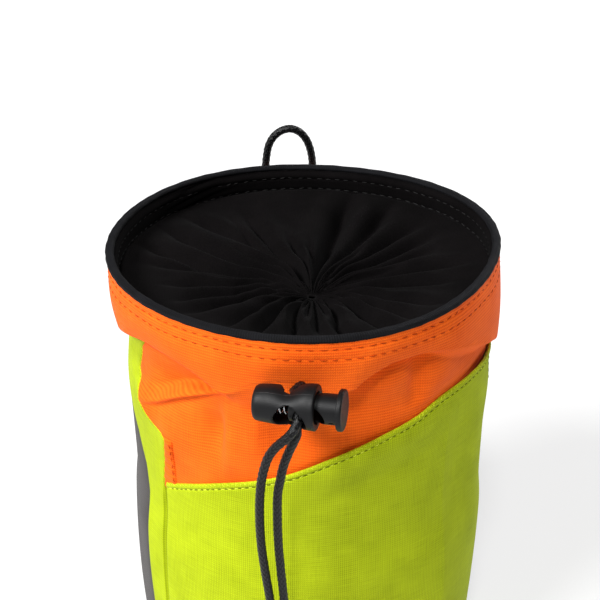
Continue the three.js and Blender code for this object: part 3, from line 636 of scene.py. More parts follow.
def braided(name):
    """Braided black cord with a slight sheen on its yarns, and painted glints on the yarns' crowns."""
    shader = Shader(name, Roughness=0.32, Specular_IOR_Level=0.22)
    u, v, _ = shader.split(shader.uv())
    one = shader.plus(shader.times(u, 6.0), v)
    two = shader.math("SUBTRACT", shader.times(u, 6.0), v)
    fibres = shader.times(shader.math("SINE", shader.times(one, 31.4)),
                         shader.math("SINE", shader.times(two, 31.4)))
    grain = shader.noise(shader.place(), 5000.0, 2.0)
    # Painted glints: a grid of lighter spots on the crowns of the yarns, following the braid.
    painted_glints = shader.times(shader.math("COSINE", shader.times(one, 2 * math.pi)),
                        shader.math("COSINE", shader.times(two, 2 * math.pi)))
    tone = shader.plus(shader.times(fibres, 0.12), shader.times(grain, 0.2))
    tone = shader.plus(tone, shader.math("SUBTRACT", painted_glints, 0.3), clamp=True)
    return shader.finish(shader.blend(tone, (0.0004, 0.0004, 0.0005, 1), (0.026, 0.026, 0.028, 1)),
                         shader.bump(shader.plus(fibres, grain), 0.00003, 0.5))


def moulded(name, parting=False):
    """Black moulded plastic with a fine spark-eroded texture, and a mould's parting line along its top."""
    shader = Shader(name, Specular_IOR_Level=0.17)
    spot = shader.place()
    grain = shader.noise(spot, 4200.0, 2.0, 0.6)
    patch = shader.noise(spot, 500.0, 2.0)
    rough = shader.plus(shader.times(patch, 0.15), 0.4)
    height = grain
    if parting:
        _, y, z = shader.split(spot)
        tilt = math.radians(LOCK_HOLE_SLOPE)
        across = shader.plus(shader.times(y, math.cos(tilt)), shader.times(z, math.sin(tilt)))
        fall = shader.times(shader.math("ABSOLUTE", across), 9000.0)
        ridge = shader.math("SUBTRACT", 1.0, fall, clamp=True)
        upper = shader.math("GREATER_THAN", z, 0.0)
        height = shader.plus(grain, shader.times(shader.times(ridge, upper), 2.5))
    return shader.finish(shader.blend(grain, (0.0025, 0.0026, 0.0028, 1), (0.008, 0.0082, 0.009, 1)),
                         shader.bump(height, 0.00005, 0.5), rough)


def steel(name):
    shader = Shader(name, Metallic=1.0, Roughness=0.25)
    drawn = shader.noise(shader.place(), 3000.0, 2.0)
    return shader.finish(shader.blend(drawn, (0.55, 0.56, 0.58, 1), (0.75, 0.76, 0.78, 1)), None,
                         shader.plus(shader.times(drawn, 0.15), 0.18))


ORANGE = woven("orange_cloth", (1.0, 0.172, 0.009), (0.62, 0.052, 0.0010), sheen=0.03, count=1240,
               pitch=0.00045, rows=True, Specular_IOR_Level=0.10)
LIME = woven("lime_cloth", (0.50, 0.61, 0.010), (0.20, 0.25, 0.0010), sheen=0.02, Specular_IOR_Level=0.09)
GREY = woven("grey_cloth", (0.080, 0.074, 0.073), (0.038, 0.035, 0.035), sheen=0.05, Specular_IOR_Level=0.2)
BLACK_BINDING = woven("black_binding", (0.010, 0.010, 0.012), (0.0008, 0.0008, 0.0008), sheen=0.01,
                      count=1100, pitch=0.00045, Specular_IOR_Level=0.08)
BLACK_KNIT = brushed("black_knit", (0.0050, 0.0042, 0.0044), (0.0001, 0.0001, 0.0001))
ORANGE_THREAD = thread("orange_thread", (0.52, 0.06, 0.001), (0.20, 0.016, 0.0005))
LIME_THREAD = thread("lime_thread", (0.85, 0.95, 0.10), (0.50, 0.56, 0.01))
# A darker copy of the lime thread, as painted shade: for the dashes of shade between the pocket's stitches
# and for its end stitches.
LIME_THREAD_PAINTED_SHADE = thread("lime_thread_painted_shade", (0.20, 0.24, 0.004), (0.07, 0.08, 0.001))
BLACK_THREAD = thread("black_thread", (0.020, 0.019, 0.019), (0.004, 0.004, 0.004))
BLACK_CORD = braided("black_cord")
BLACK_PLASTIC = moulded("black_plastic", parting=True)
BLACK_PLUNGER = moulded("black_plunger")
SPRING_STEEL = steel("spring_steel")


# Camera
camera_data = bpy.data.cameras.new("camera")
camera_data.lens = CAMERA_LENS
camera_data.sensor_width = 36
camera_data.clip_start = 0.01
camera_data.clip_end = 20
camera = bpy.data.objects.new("camera", camera_data)
camera.location = CAMERA_PLACE
camera.rotation_euler = (math.radians(90 - CAMERA_DOWN), 0, 0)
bpy.context.scene.collection.objects.link(camera)
bpy.context.scene.camera = camera


# Cords
def make_cords():
    knot_top = (np.array(LEFT_STRAND[-1]) + np.array(RIGHT_STRAND[-1])) / 2
    knot = make_knot(knot_top)
    for name, node, route in (("left_strand", "drawcord_left", LEFT_STRAND),
                              ("right_strand", "drawcord_right", RIGHT_STRAND)):
        obj, path, length = braided_cord(name, route, CORD_DIAMETER, BLACK_CORD)
        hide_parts(node)
    loop, path, length = braided_cord("hanging_loop", HANGING_LOOP, LOOP_DIAMETER, BLACK_CORD,
                                      first=(1, 0, 0), full=1.13)
    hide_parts("hang_loop")


def make_knot(top):
    """The two strands end in one barrel knot: three close turns round them, with two tails below."""
    wraps = []
    turns, rise = 3.0, 2.55
    for t in np.linspace(0, turns, 60):
        angle = 2 * np.pi * t + 0.6
        wraps.append([3.15 * np.cos(angle), 2.65 * np.sin(angle), -2.0 - rise * t])
    start = [[-1.2, 0.5, 0.6], [0.4, 1.6, -0.4]]
    end = [[1.2, -1.4, -10.6], [1.7, -0.3, -12.6], [1.8, 0, -16], [1.9, 0.1, -20.5]]
    pieces = [start + wraps + end, [[-1.6, 0, -8.6], [-1.75, 0, -12], [-1.9, 0.2, -16], [-2.1, 0.3, -21]]]
    all_points, all_faces, all_uv, total = [], [], [], 0
    for route in pieces:
        path, _ = smooth_path(np.array(route) + top, 0.3)
        points, steps = braided_tube(path, CORD_DIAMETER * 0.98, sides=24)
        rings = capped(points)
        quads, uv = grid_faces(len(rings), 24, around=True)
        all_points.append(rings[::-1].reshape(-1, 3))
        all_faces.append(quads + total)
        all_uv.append(uv * np.array([1 / 24, steps[-1] / BRAID_REPEAT / len(rings)]))
        total += rings.size // 3
    obj = make_object("knot", np.concatenate(all_points), np.concatenate(all_faces), BLACK_CORD,
                      np.concatenate(all_uv))
    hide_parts("drawcord_knot")
    return obj


# The orange cloth: the collar all round, and the front below it
def front_folds(a, z):
    """The folds and dents of the front, in millimetres outwards."""
    crease = curve(FOLD_LINE, a)
    d = z - crease
    window = step(a, -62, -50) * (1 - step(a, -16, -11))
    gap = np.maximum(collar_edge(a) - crease, 0.5)
    share = np.clip(d / gap, 0, 1)
    hollow = np.where(share < 0.25, step(share, 0.02, 0.25), 1 - 0.95 * (share - 0.25) / 0.75)
    left = 1 - step(a, -31, -23)
    out = -4.2 * hollow * np.clip(gap / 11, 0, 1) * left * (d > 0) * mix(0.3, 1, step(a, -58, -42))
    ridge = np.where(d > 0, np.exp(-((d / 3.2) ** 2)), np.exp(-((d / 0.6) ** 2)))
    out = out + mix(1.0, 0.55, step(a, -40, -26)) * ridge * window
    under = np.where(d < 0, np.exp(d / 6.5) - np.exp(d / 0.9), 0)
    out = out - 1.6 * under * window * mix(1, 0.25, step(a, -38, -25))
    dent = bump(z, 112, 8) * np.where(a < -26.5, bump(a, -26.5, 7), bump(a, -26.5, 2.2))
    out = out - 3.9 * dent
    # A valley on the right, and faint ripples above the pocket
    out = out - 1.8 * bump(a, 34, 2.8) * step(z, 114, 128)
    out = out + 0.35 * np.sin(np.radians(a * 7 + 20)) * bump(z, 112, 16) * step(a, 0, 12)
    # The cloth is drawn in behind the cords
    drawn = np.clip((a + 13.8) / 9, 0, 1) * (1 - step(a, -4, 6))
    out = out - 3.0 * drawn * bump(z, 118, 11)
    for size, angle, wide, height, tall in SWELLINGS:
        out = out + size * bump(a, angle, wide) * bump(z, height, tall)
    return out


def pocket_facet(a, below):
    """The pocket's flatter right half, which turns away from the front."""
    across = np.clip((a + 4) / 52, 0, 1)
    return -2.3 * np.sin(np.pi * across) ** 0.8 * step(below, 3, 17)


def orange_radius(a, z):
    edge = collar_edge(a)
    share = step(z, edge - curve(FRONT_STEP, a), edge + 0.05)
    hem = curve(POCKET_HEM, a)
    bare = step(z, hem - 0.5, hem + mix(5, 8, step(a, 20, 40)))
    under, over = step(z, hem - 4, hem - 0.5), step(z, hem + 0.5, hem + 4)
    shown = np.where(a < 0, under, 0.45 * under + 0.55 * over)
    body = side_outer(a, z) - 1.5 + 1.3 * shown * step(np.abs(a), 8, 44)
    body = body + pocket_facet(a, hem - z + 4) + 0.9 * step(a, 66, 80) * step(z, 110, 119)
    centre = bump(a, -2, 15) * step(z, hem + 2, hem + 24)
    body = body + bare * front_folds(a, z) + centre
    return mix(body, collar_outer(a, z), share)


def collar_detail(a, z):
    """Small waves of the collar, and the cloth drawn in along its two rows of stitches."""
    out = waves(a, (5, 7, 9, 13), 3, 0.22) * step(CLOTH_TOP - z, 0, 8)
    for height in STITCH_ROWS:
        pucker = 0.75 + 0.25 * np.cos(np.radians(a) * 115)
        out = out - 0.15 * bump(z, height, 0.6) * pucker
    return out


def make_orange():
    columns_front, columns_back = 210, 160
    base_left, base_right = -57.5, 88.0
    share = np.linspace(0, 1, columns_front)
    front_angles = mix(base_left, base_right, share)
    back_angles = np.linspace(base_right, base_left + 360, columns_back + 2)[1:-1]
    angles = np.concatenate([front_angles, back_angles])
    rows = np.linspace(0, 1, 34)
    edge = collar_edge(angles)
    heights = mix(CLOTH_TOP, edge[None, :], rows[:, None])
    angle_grid = np.broadcast_to(angles, heights.shape)
    flat_angles = half_turn(angle_grid)
    radius = collar_outer(angle_grid, heights) + collar_detail(flat_angles, heights)
    collar_points = place(angle_grid, radius, heights)

    # Rows below the collar's edge, down to the base. Their ends follow the seams.
    top = edge[:columns_front]
    hem = curve(POCKET_HEM, front_angles) - 5
    lower = [top - drop for drop in np.linspace(0, 1.3, 7)[1:]]
    lower += [mix(top - 1.3, hem, t) for t in np.linspace(0, 1, 78)[1:]]
    lower += [mix(hem, 0.8, t) for t in np.linspace(0, 1, 12)[1:]]
    lower = np.array(lower)
    left_shift = line(LEFT, lower) + 0.2 - base_left
    right_shift = line(RIGHT, lower) - 0.2 - base_right
    fade_in = step(top[None, :] - lower, 0, 3)
    a = front_angles + fade_in * (left_shift * (1 - share) ** 6 + right_shift * share**6)
    hole = np.hypot(a - CORD_HOLE[0], (lower - CORD_HOLE[1]) * CORD_HOLE_STRETCH)
    ring = CORD_HOLE_RING + hole * (CORD_HOLE_REACH - CORD_HOLE_RING) / CORD_HOLE_REACH
    push = np.where(hole < CORD_HOLE_REACH, ring / np.maximum(hole, 1e-6), 1)
    a = CORD_HOLE[0] + (a - CORD_HOLE[0]) * push
    lower = CORD_HOLE[1] + (lower - CORD_HOLE[1]) * push
    detail = collar_detail(a, lower) * 0.5 * step(lower, top[None, :] - 8, top[None, :])
    front_points = place(a, orange_radius(a, lower) + detail, lower)

    columns = len(angles)
    quads_collar, uv_collar = grid_faces(len(rows), columns, around=True)
    block = np.concatenate([collar_points[-1:, :columns_front], front_points])
    quads_front, uv_front = grid_faces(len(block), columns_front)
    offset = len(rows) * columns
    number = np.concatenate([(len(rows) - 1) * columns + np.arange(columns_front),
                             offset + np.arange(front_points.shape[0] * columns_front)])
    quads = np.concatenate([quads_collar, number[quads_front]])
    uv = np.concatenate([uv_collar / [columns, 100], uv_front / [columns, 100]])
    points = np.concatenate([collar_points.reshape(-1, 3), front_points.reshape(-1, 3)])
    middle = points[quads].mean(1)
    near = np.hypot(np.degrees(np.arctan2(middle[:, 0], -middle[:, 1])) - CORD_HOLE[0],
                    (middle[:, 2] - CORD_HOLE[1]) * CORD_HOLE_STRETCH)
    keep = near > CORD_HOLE_CUT
    quads, uv = quads[keep], uv[keep]
    points, quads, uv = thicken(points, quads, uv, ORANGE_THICKNESS)
    used = np.unique(quads)
    renumber = np.full(len(points), -1)
    renumber[used] = np.arange(len(used))
    obj = make_object("orange_cloth", points[used], renumber[quads], ORANGE, uv)
    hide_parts("collar_band", "front_panel")


def orange_surface(angle, height):
    """A point on the orange cloth's outer face, in the collar or the front."""
    edge = collar_edge(angle)
    inside = (half_turn(angle) > -57) & (half_turn(angle) < 87)
    below = orange_radius(half_turn(angle), height) + collar_detail(half_turn(angle), height) * 0.5
    collar = collar_outer(angle, height) + collar_detail(half_turn(angle), height)
    radius = np.where((height < edge) & inside, below, collar)
    return place(angle, radius, height)


def surface_row(surface, angles, heights):
    """A path on a surface and its outward normals."""
    p = surface(angles, heights)
    d_angle = surface(angles + 0.2, heights) - p
    d_height = surface(angles, heights + 0.2) - p
    normal = np.cross(d_angle, d_height)
    return p, normal / np.linalg.norm(normal, axis=1, keepdims=True)


def make_collar_stitches():
    angles = np.linspace(0, 360, 1441)
    for number, height in enumerate(STITCH_ROWS):
        drift = waves(angles, (3, 5, 8), 20 + number, 0.12)
        path, normals = surface_row(orange_surface, angles, height + drift)
        stitches(f"collar_stitches_{number + 1}", path, normals, ORANGE_THREAD,
                 pitch=3.3, dash=2.1, width=0.27, rise=0.08, wander=0.12)


def make_seam():
    """The narrow folded strip along the front's left seam, with its row of stitches."""
    heights = np.linspace(104.0, 87.2, 90)
    across = np.linspace(0, 1, 12)
    a = line(LEFT, heights)[:, None] - 0.1 + mix(0, mix(3.1, 6.2, np.linspace(0, 1, 90))[:, None], across)
    z = np.broadcast_to(heights[:, None], a.shape)
    rise = 0.6 * np.sin(np.pi * np.clip(across * 1.02, 0, 1)) ** 0.5 + 0.09 * np.sin(z * 1.9 + 3 * across)
    radius = orange_radius(a, z) + 0.15 + rise * step(104.0 - z, 0, 1.5)
    cloth("left_hem", place(a, radius, z), ORANGE, HEM_THICKNESS)
    path_heights = np.linspace(103, 88, 200)
    path_angles = line(LEFT, path_heights) + 2.6 + (103 - path_heights) / 15 * 2.9
    path, normals = surface_row(lambda angle, z: place(angle, orange_radius(angle, z) + 0.75, z),
                                path_angles, path_heights)
    stitches("left_hem_stitches", path, normals, ORANGE_THREAD,
             pitch=2.2, dash=1.5, width=0.27, rise=0.1, wander=0.2)


# The side panels and the back
def panel_surface(angle, height):
    edge = collar_edge(angle)
    a = half_turn(angle)
    wrinkle = waves(angle, (3, 5, 8, 11), 5, 0.35) * bump(height, 95, 45)
    sag = waves(angle + height * 0.35, (6, 9, 14), 9, 0.28) * bump(height, 60, 40)
    near = step(a, line(LEFT, height) - 9, line(LEFT, height)) * (a < 0) + step(a, 90, 80) * (a > 0)
    folded = near * front_folds(a, height) * step(height, 88, 100) * 0.9
    body = side_outer(angle, height) + (wrinkle + sag) * (1 - near) + folded
    seat = np.minimum(body, collar_outer(angle, np.maximum(height, edge)) - 2.4)
    return place(angle, mix(body, seat, step(height, edge - 3, edge + 1)), height)


def seam(table, turn=0):
    """A seam's angle as a function of the height."""
    return lambda height: line(table, height) + turn


def make_panel(name, node, left, right, material, slot, columns, under_left, under_right):
    """A panel between two seams. A side that is under its neighbour goes further and lies deeper."""
    rows = 150
    share = np.linspace(0, 1, columns)
    height_share = np.linspace(0, 1, rows)[::-1]
    base_heights = mix(0.6, 134, height_share)[:, None] * np.ones((1, columns))
    a = mix(left(base_heights) - under_left, right(base_heights) + under_right, share)
    top = np.minimum(collar_edge(a) + 5, 139.2)
    heights = mix(0.6, top, height_share[:, None])
    a = mix(left(heights) - under_left, right(heights) + under_right, share)
    points = panel_surface(a, heights)
    depth = np.zeros_like(a)
    if under_left:
        depth = np.maximum(depth, 1 - step(a - left(heights), -0.6, 0.6))
    if under_right:
        depth = np.maximum(depth, step(a - right(heights), -0.6, 0.6))
    depth = depth * 1.3
    if slot == "grey_cloth":
        gap = np.minimum(a - left(heights), right(heights) - a)
        depth = depth + 1.5 * np.exp(-np.maximum(gap, 0) / 1.3)
    if node == "side_panel_right":
        depth = depth + 1.3 * step(curve(POCKET_HEM, a) - heights, -3, 1)
    points = points - place(a, 1.0, 0.0) * depth[..., None]
    obj = cloth(name, points, material, PANEL_THICKNESS)
    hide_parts(node)


def make_panels():
    make_panel("left_panel", "side_panel_left", seam(GREY_LEFT), seam(LEFT), LIME, "lime_cloth", 60, 0, 3.5)
    make_panel("right_panel", "side_panel_right", seam(RIGHT), seam(GREY_RIGHT), LIME, "lime_cloth",
               60, 3.5, 0)
    make_panel("grey_back", "back_panel", seam(GREY_RIGHT), seam(GREY_LEFT, 360), GREY, "grey_cloth",
               140, 3, 3)


# The pocket
def pocket_surface(angle, height):
    bands = 0.45 * np.sin(np.radians(angle * 6 + 30)) * step(height, 20, 90) * step(angle, 0, 40)
    dip = -1.1 * bump(angle, 52, 9) * step(height, 40, 90) * step(118 - height, 0, 14)
    swell = 0.7 * bump(angle, 68, 7) * bump(height, 85, 35)
    folds = waves(angle + 0.3 * height, (7, 11, 15), 14, 0.2) * bump(height, 60, 40)
    hem = curve(POCKET_HEM, angle)
    below = hem - height
    seam = 0.2 * bump(below, 0.9, 0.8) - 0.28 * bump(below, 1.8, 0.35)
    lap = (0.1 + 0.9 * step(height, 112, 121) - 0.6 * step(112 - height, 4, 16)) * step(angle, 66, 80)
    return place(angle, side_outer(angle, height) + 0.15 + lap + bands + dip + swell + folds + seam
                 + pocket_facet(angle, below), height)


def make_pocket():
    first, last = -48.4, 91.0
    angles = np.linspace(first, last, 170)
    below = np.concatenate([np.linspace(0, 3.2, 14), np.linspace(3.2, 34, 62)[1:]])
    hem = curve(POCKET_HEM, angles)
    heights = hem[None, :] - below[:, None]
    rest = np.array([mix(hem - 34, 0.7, t) for t in np.linspace(0, 1, 50)[1:]])
    heights = np.concatenate([heights, rest])
    a = np.broadcast_to(angles, heights.shape)
    obj = cloth("pocket", pocket_surface(a, heights), LIME, POCKET_THICKNESS)
    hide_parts("front_pocket")
    path_angles = np.linspace(first + 1, last - 1, 800)
    path, normals = surface_row(pocket_surface, path_angles, curve(POCKET_HEM, path_angles) - 1.8)
    stitches("pocket_stitches", path, normals, LIME_THREAD,
             pitch=2.3, dash=1.35, width=0.26, rise=0.12, wander=0.2)
    # Dashes of painted shade in the gaps between the pocket's stitches, where the thread dips into the cloth.
    shifted = path_angles + 1.15
    path, normals = surface_row(pocket_surface, shifted, curve(POCKET_HEM, shifted) - 1.9)
    stitches("pocket_stitch_gap_shade", path, normals, LIME_THREAD_PAINTED_SHADE,
             pitch=2.3, dash=1.1, width=0.34, rise=0.02)
    path, normals = surface_row(pocket_surface, path_angles, curve(POCKET_HEM, path_angles) - 0.2)
    stitches("pocket_edge_threads", path, normals, LIME_THREAD,
             pitch=1.5, dash=0.5, width=0.12, rise=0.05, wander=0.3)
    # The pocket's end stitches, drawn in the lime thread's darker copy as painted shade.
    down = np.linspace(117.5, 108.5, 120)
    path, normals = surface_row(pocket_surface, np.full(120, 75.0), down)
    stitches("pocket_end_stitches", path, normals, LIME_THREAD_PAINTED_SHADE,
             pitch=1.9, dash=1.3, width=0.3, rise=0.03, wander=0.1)


# The rim
def make_piping():
    columns, sides = 640, 28
    angle = np.linspace(0, 360, columns, endpoint=False)
    turn = np.linspace(0, 2 * np.pi, sides, endpoint=False)
    lumps = waves(angle, (31, 47, 73), 8, 0.035)
    half_width = PIPING_WIDTH / 2 + lumps
    half_height = PIPING_HEIGHT / 2 + waves(angle, (23, 41), 6, 0.03)
    wide = np.sign(np.cos(turn)) * np.abs(np.cos(turn)) ** 0.8
    tall = np.sign(np.sin(turn)) * np.abs(np.sin(turn)) ** 0.85
    radius = rim_outer(angle)[:, None] - PIPING_WIDTH / 2 + half_width[:, None] * wide[None, :]
    height = PIPING_TOP - PIPING_HEIGHT / 2 + half_height[:, None] * tall[None, :]
    points = place(angle[:, None], radius, height)
    quads, uv = grid_faces(columns, sides, around=True)
    wrap = np.stack([np.full(sides, columns - 1) * sides + np.arange(sides),
                     np.full(sides, columns - 1) * sides + (np.arange(sides) + 1) % sides,
                     (np.arange(sides) + 1) % sides, np.arange(sides)], -1)
    wrap_uv = np.stack([np.stack([np.arange(sides), np.full(sides, columns - 1)], -1),
                        np.stack([np.arange(sides) + 1, np.full(sides, columns - 1)], -1),
                        np.stack([np.arange(sides) + 1, np.full(sides, columns)], -1),
                        np.stack([np.arange(sides), np.full(sides, columns)], -1)], 1)
    quads = np.concatenate([quads, wrap[:, ::-1]])
    uv = np.concatenate([uv, wrap_uv[:, ::-1]]) / [sides, columns]
    obj = make_object("piping", points.reshape(-1, 3), quads, BLACK_BINDING, uv)
    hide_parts("rim_piping")


def facing_surface(angle, height):
    wobble = waves(angle, (4, 7, 11, 17), 31, 0.25) * step(146.9 - height, 0, 5)
    crumple = 0.5 * np.sin(height * 2.3 + np.radians(angle * 20)) * bump(half_turn(angle), -140, 11)
    ridges = 0.25 * (bump(height, FACING_SEAMS[0], 0.4) + bump(height, FACING_SEAMS[1], 0.5))
    under_piping = 0.9 * step(height, 146.6, 148.2)
    radius = collar_outer(angle, height) - 2.5 + under_piping + wobble * 0.5 + crumple * 0.5 + ridges
    return place(angle, radius, height)


def make_facing():
    angle = np.linspace(0, 360, 480, endpoint=False)
    heights = np.linspace(148.4, FACING_FOOT + 0.2, 26)
    points = facing_surface(angle[None, :], heights[:, None])
    obj = cloth("facing", points, BLACK_KNIT, KNIT_THICKNESS, around=True)
    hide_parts("rim_facing")
    angles = np.linspace(0, 360, 1200)
    for number, height in enumerate(FACING_SEAMS):
        drift = waves(angles, (4, 9, 13), 40 + number, 0.15)
        path, normals = surface_row(lambda a, z: facing_surface(a, z) - place(a, KNIT_THICKNESS, 0.0),
                                    angles, height + drift)
        stitches(f"facing_stitches_{number + 1}", path[::-1], -normals[::-1], BLACK_THREAD,
                 pitch=3.2, dash=2.1, width=0.32, rise=0.1, wander=0.15)


# The gathered closure
# Each valley between two pleats: its angle at the outer end, at two thirds of the way in, and at the middle;
# how far out it reaches; its depth and its width
VALLEYS = [
    (-135, -146, -164, 58, 1.5, 2.6), (-147, -147, -156, 50, 1.3, 2.6), (-154, -155, -167, 52, 1.5, 2.8),
    (-124, -122, -140, 57, 1.4, 2.2), (-111, -106, -122, 57, 1.4, 2.3), (-99, -103, -119, 50, 1.1, 1.8),
    (-84, -90, -115, 44, 0.9, 1.6), (-68, -78, -104, 42, 1.1, 1.9), (-55, -68, -88, 42, 1.2, 2.2),
    (-39, -47, -66, 38, 1.3, 2.4), (-21, -32, -46, 36, 1.4, 2.4), (167, 169, 177, 62, 2.2, 3.6),
    (152, 153, 164, 60, 1.6, 2.6), (136, 140, 150, 52, 1.4, 2.2), (127, 128, 138, 50, 1.4, 2.0),
    (118, 119, 128, 44, 1.1, 1.8), (101, 107, 114, 50, 1.4, 2.2), (86, 92, 97, 42, 1.0, 1.8),
    (66, 71, 86, 40, 1.3, 2.2), (49, 54, 70, 38, 1.0, 1.8), (34, 39, 56, 38, 1.4, 2.2),
    (16, 17, 36, 36, 1.3, 2.0), (-5, -12, -28, 34, 1.4, 2.2), (5, 3, 6, 30, 0.9, 1.6),
    (-163, -168, -176, 36, 0.9, 1.8), (-176, -178, 177, 30, 0.7, 1.8), (143, 146, 156, 30, 0.8, 1.3),
    (-130, -133, -150, 34, 0.8, 1.3), (111, 112, 120, 30, 0.7, 1.2), (-92, -97, -117, 32, 0.7, 1.2),
]


def closure_height(angle, radius, edge):
    """The closure's height at an angle and a distance from its middle."""
    share = np.clip(radius / edge, 0, 1)
    height = CLOSURE_HEIGHT - CLOSURE_SINK * (1 - share**0.75) - 1.1 * np.sin(np.pi * share) ** 2
    for outer, middle, inner, reach, depth, width in VALLEYS:
        middle = outer + half_turn(middle - outer)
        inner = middle + half_turn(inner - middle)
        centre = np.interp(radius, [5, 24, 60], [inner, middle, outer])
        off = half_turn(angle - centre)
        distance = np.radians(np.abs(off)) * np.maximum(radius, 1.5)
        wide = 0.66 * width * np.clip(radius / 26, 0.2, 1.3)
        strength = step(radius, 1.0, 7) * (1 - step(radius, reach * 0.72, reach * 1.12))
        slant = np.where(off > 0, 0.8, 1.25)
        profile = np.exp(-((distance / (wide * slant)) ** 1.4))
        ridge = np.exp(-(((distance - wide * 2.3) / (wide * 1.5)) ** 2))
        size = 2.3 * depth * np.clip(radius / 16, 0.3, 1)
        height = height + strength * size * (0.45 * ridge - profile)
    drift = 1.1 * np.sin(np.radians(angle * 5 + 40)) + 0.6 * np.sin(np.radians(angle * 3))
    fine = np.cos(np.radians(angle * 34) + drift)
    return height + 0.5 * fine * step(radius, 1.2, 4) * (1 - step(radius, 9, 26))


def make_closure():
    columns = 480
    angle = np.linspace(0, 360, columns, endpoint=False)
    share = np.concatenate([np.linspace(1, 0.25, 52), np.linspace(0.25, 0.02, 33)[1:]])
    edge_point = place(angle, collar_outer(angle, 141.5) - 3.4, 0.0)[:, :2]
    offset = edge_point - CLOSURE_CENTRE
    edge = np.hypot(offset[:, 0], offset[:, 1])
    true_angle = np.degrees(np.arctan2(offset[:, 0], -offset[:, 1]))
    radius = share[:, None] * edge[None, :]
    turn = np.radians(true_angle)[None, :]
    x = CLOSURE_CENTRE[0] + radius * np.sin(turn)
    y = CLOSURE_CENTRE[1] - radius * np.cos(turn)
    z = closure_height(np.broadcast_to(true_angle, radius.shape), radius, edge[None, :])
    points = np.stack([x, y, z], -1)
    quads, uv = grid_faces(len(share), columns, around=True)
    flat, quads, uv = thicken(points.reshape(-1, 3), quads[:, ::-1], uv[:, ::-1], KNIT_THICKNESS)
    obj = make_object("closure_cloth", flat, quads, BLACK_KNIT, uv / [columns, len(share)])
    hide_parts("closure")


def make_casing():
    """The puckered ring of cloth that holds the cord, under the closure's middle."""
    columns, sides = 200, 20
    angle = np.linspace(0, 2 * np.pi, columns, endpoint=False)[:, None]
    turn = np.linspace(0, 2 * np.pi, sides, endpoint=False)[None, :]
    pucker = 1 + 0.1 * np.cos(angle * 22)
    radius = CASING_RADIUS + CASING_THICKNESS * pucker * np.cos(turn)
    points = np.stack([CLOSURE_CENTRE[0] + radius * np.sin(angle), CLOSURE_CENTRE[1] - radius * np.cos(angle),
                       CASING_HEIGHT + CASING_THICKNESS * pucker * np.sin(turn)], -1)
    quads = torus_quads(columns, sides)
    obj = make_object("casing", points.reshape(-1, 3), quads, BLACK_KNIT)
    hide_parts("closure_casing")


def tab_surface(angle, height):
    across = np.clip(np.abs(half_turn(angle - TAB_ANGLE)) / TAB_HALF, 0, 1)
    up = np.clip(np.abs(height - TAB_MIDDLE) / (TAB_HEIGHT / 2), 0, 1)
    swell = np.sqrt((1 - across**6) * (1 - up**6))
    sewn = bump(across, 0.84, 0.05) * (up < 0.86) + bump(up, 0.8, 0.07) * (across < 0.88)
    ends = 0.5 * bump(across, 0.72, 0.14) * step(height - TAB_MIDDLE, -2, 3)
    return place(angle, collar_outer(angle, height) + 1.25 + 2.2 * swell - 0.35 * sewn + ends, height)


def make_tab():
    """The sewn tab that holds the hanging loop's ends, with its box of stitches."""
    angles = TAB_ANGLE + TAB_HALF * np.linspace(-1, 1, 70)
    heights = TAB_MIDDLE + TAB_HEIGHT / 2 * np.linspace(1, -1, 44)[:, None]
    points = tab_surface(angles[None, :], heights)
    depth = np.hypot(points[..., 0], points[..., 1]) - collar_outer(angles[None, :], heights) - 0.35
    quads, uv = grid_faces(44, 70)
    flat, quads, uv = thicken(points.reshape(-1, 3), quads, uv, depth.ravel())
    obj = make_object("tab", flat, quads, BLACK_BINDING, uv / [70, 44])
    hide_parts("loop_tab")
    wide, tall = 0.84 * TAB_HALF, 0.8 * TAB_HEIGHT / 2
    corners = np.array([(-wide, tall), (wide, tall), (wide, -tall), (-wide, -tall), (-wide, tall),
                        (wide, -tall)])
    share = np.linspace(0, len(corners) - 1, 400)
    route_angles = TAB_ANGLE + np.interp(share, np.arange(len(corners)), corners[:, 0])
    route_heights = TAB_MIDDLE + np.interp(share, np.arange(len(corners)), corners[:, 1])
    path, normals = surface_row(tab_surface, route_angles, route_heights)
    stitches("tab_stitches", path, normals, BLACK_THREAD,
             pitch=2.4, dash=1.7, width=0.32, rise=0.12)


def torus_quads(columns, sides):
    c, s = np.meshgrid(np.arange(columns), np.arange(sides), indexing="ij")
    d, t = (c + 1) % columns, (s + 1) % sides
    return np.stack([c * sides + s, d * sides + s, d * sides + t, c * sides + t], -1).reshape(-1, 4)


# The cord lock
def lock_place():
    turn = Euler((0, math.radians(LOCK_PITCH), math.radians(-LOCK_YAW)), "XYZ").to_matrix().to_4x4()
    return Matrix.Translation(Vector(LOCK_END) * MM) @ turn


def round_solid(name, stations, sides=96):
    """A temporary solid round the X axis. Its stations are places and radii, or a grid of points."""
    turn = np.linspace(0, 2 * np.pi, sides, endpoint=False)
    if isinstance(stations, np.ndarray):
        points = stations
    else:
        along, radius = np.array(stations, float).T
        points = np.stack([np.broadcast_to(along[:, None], (len(along), sides)),
                           radius[:, None] * np.cos(turn), radius[:, None] * np.sin(turn)], -1)
    rows = len(points)
    quads, _ = grid_faces(rows, sides, around=True)
    middle = np.array([points[0].mean(0), points[-1].mean(0)])
    flat = np.concatenate([points.reshape(-1, 3), middle])
    ring = np.arange(sides)
    beside = (ring + 1) % sides
    last = (rows - 1) * sides
    faces = [tuple(quad[::-1]) for quad in quads]
    faces += [(int(rows * sides), int(b), int(a)) for a, b in zip(beside, ring)]
    faces += [(int(rows * sides + 1), int(last + b), int(last + a)) for a, b in zip(ring, beside)]
    mesh = bpy.data.meshes.new(name)
    mesh.from_pydata(flat.tolist(), [], [tuple(int(i) for i in face) for face in faces])
    mesh.validate()
    obj = bpy.data.objects.new(name, mesh)
    bpy.context.scene.collection.objects.link(obj)
    return obj


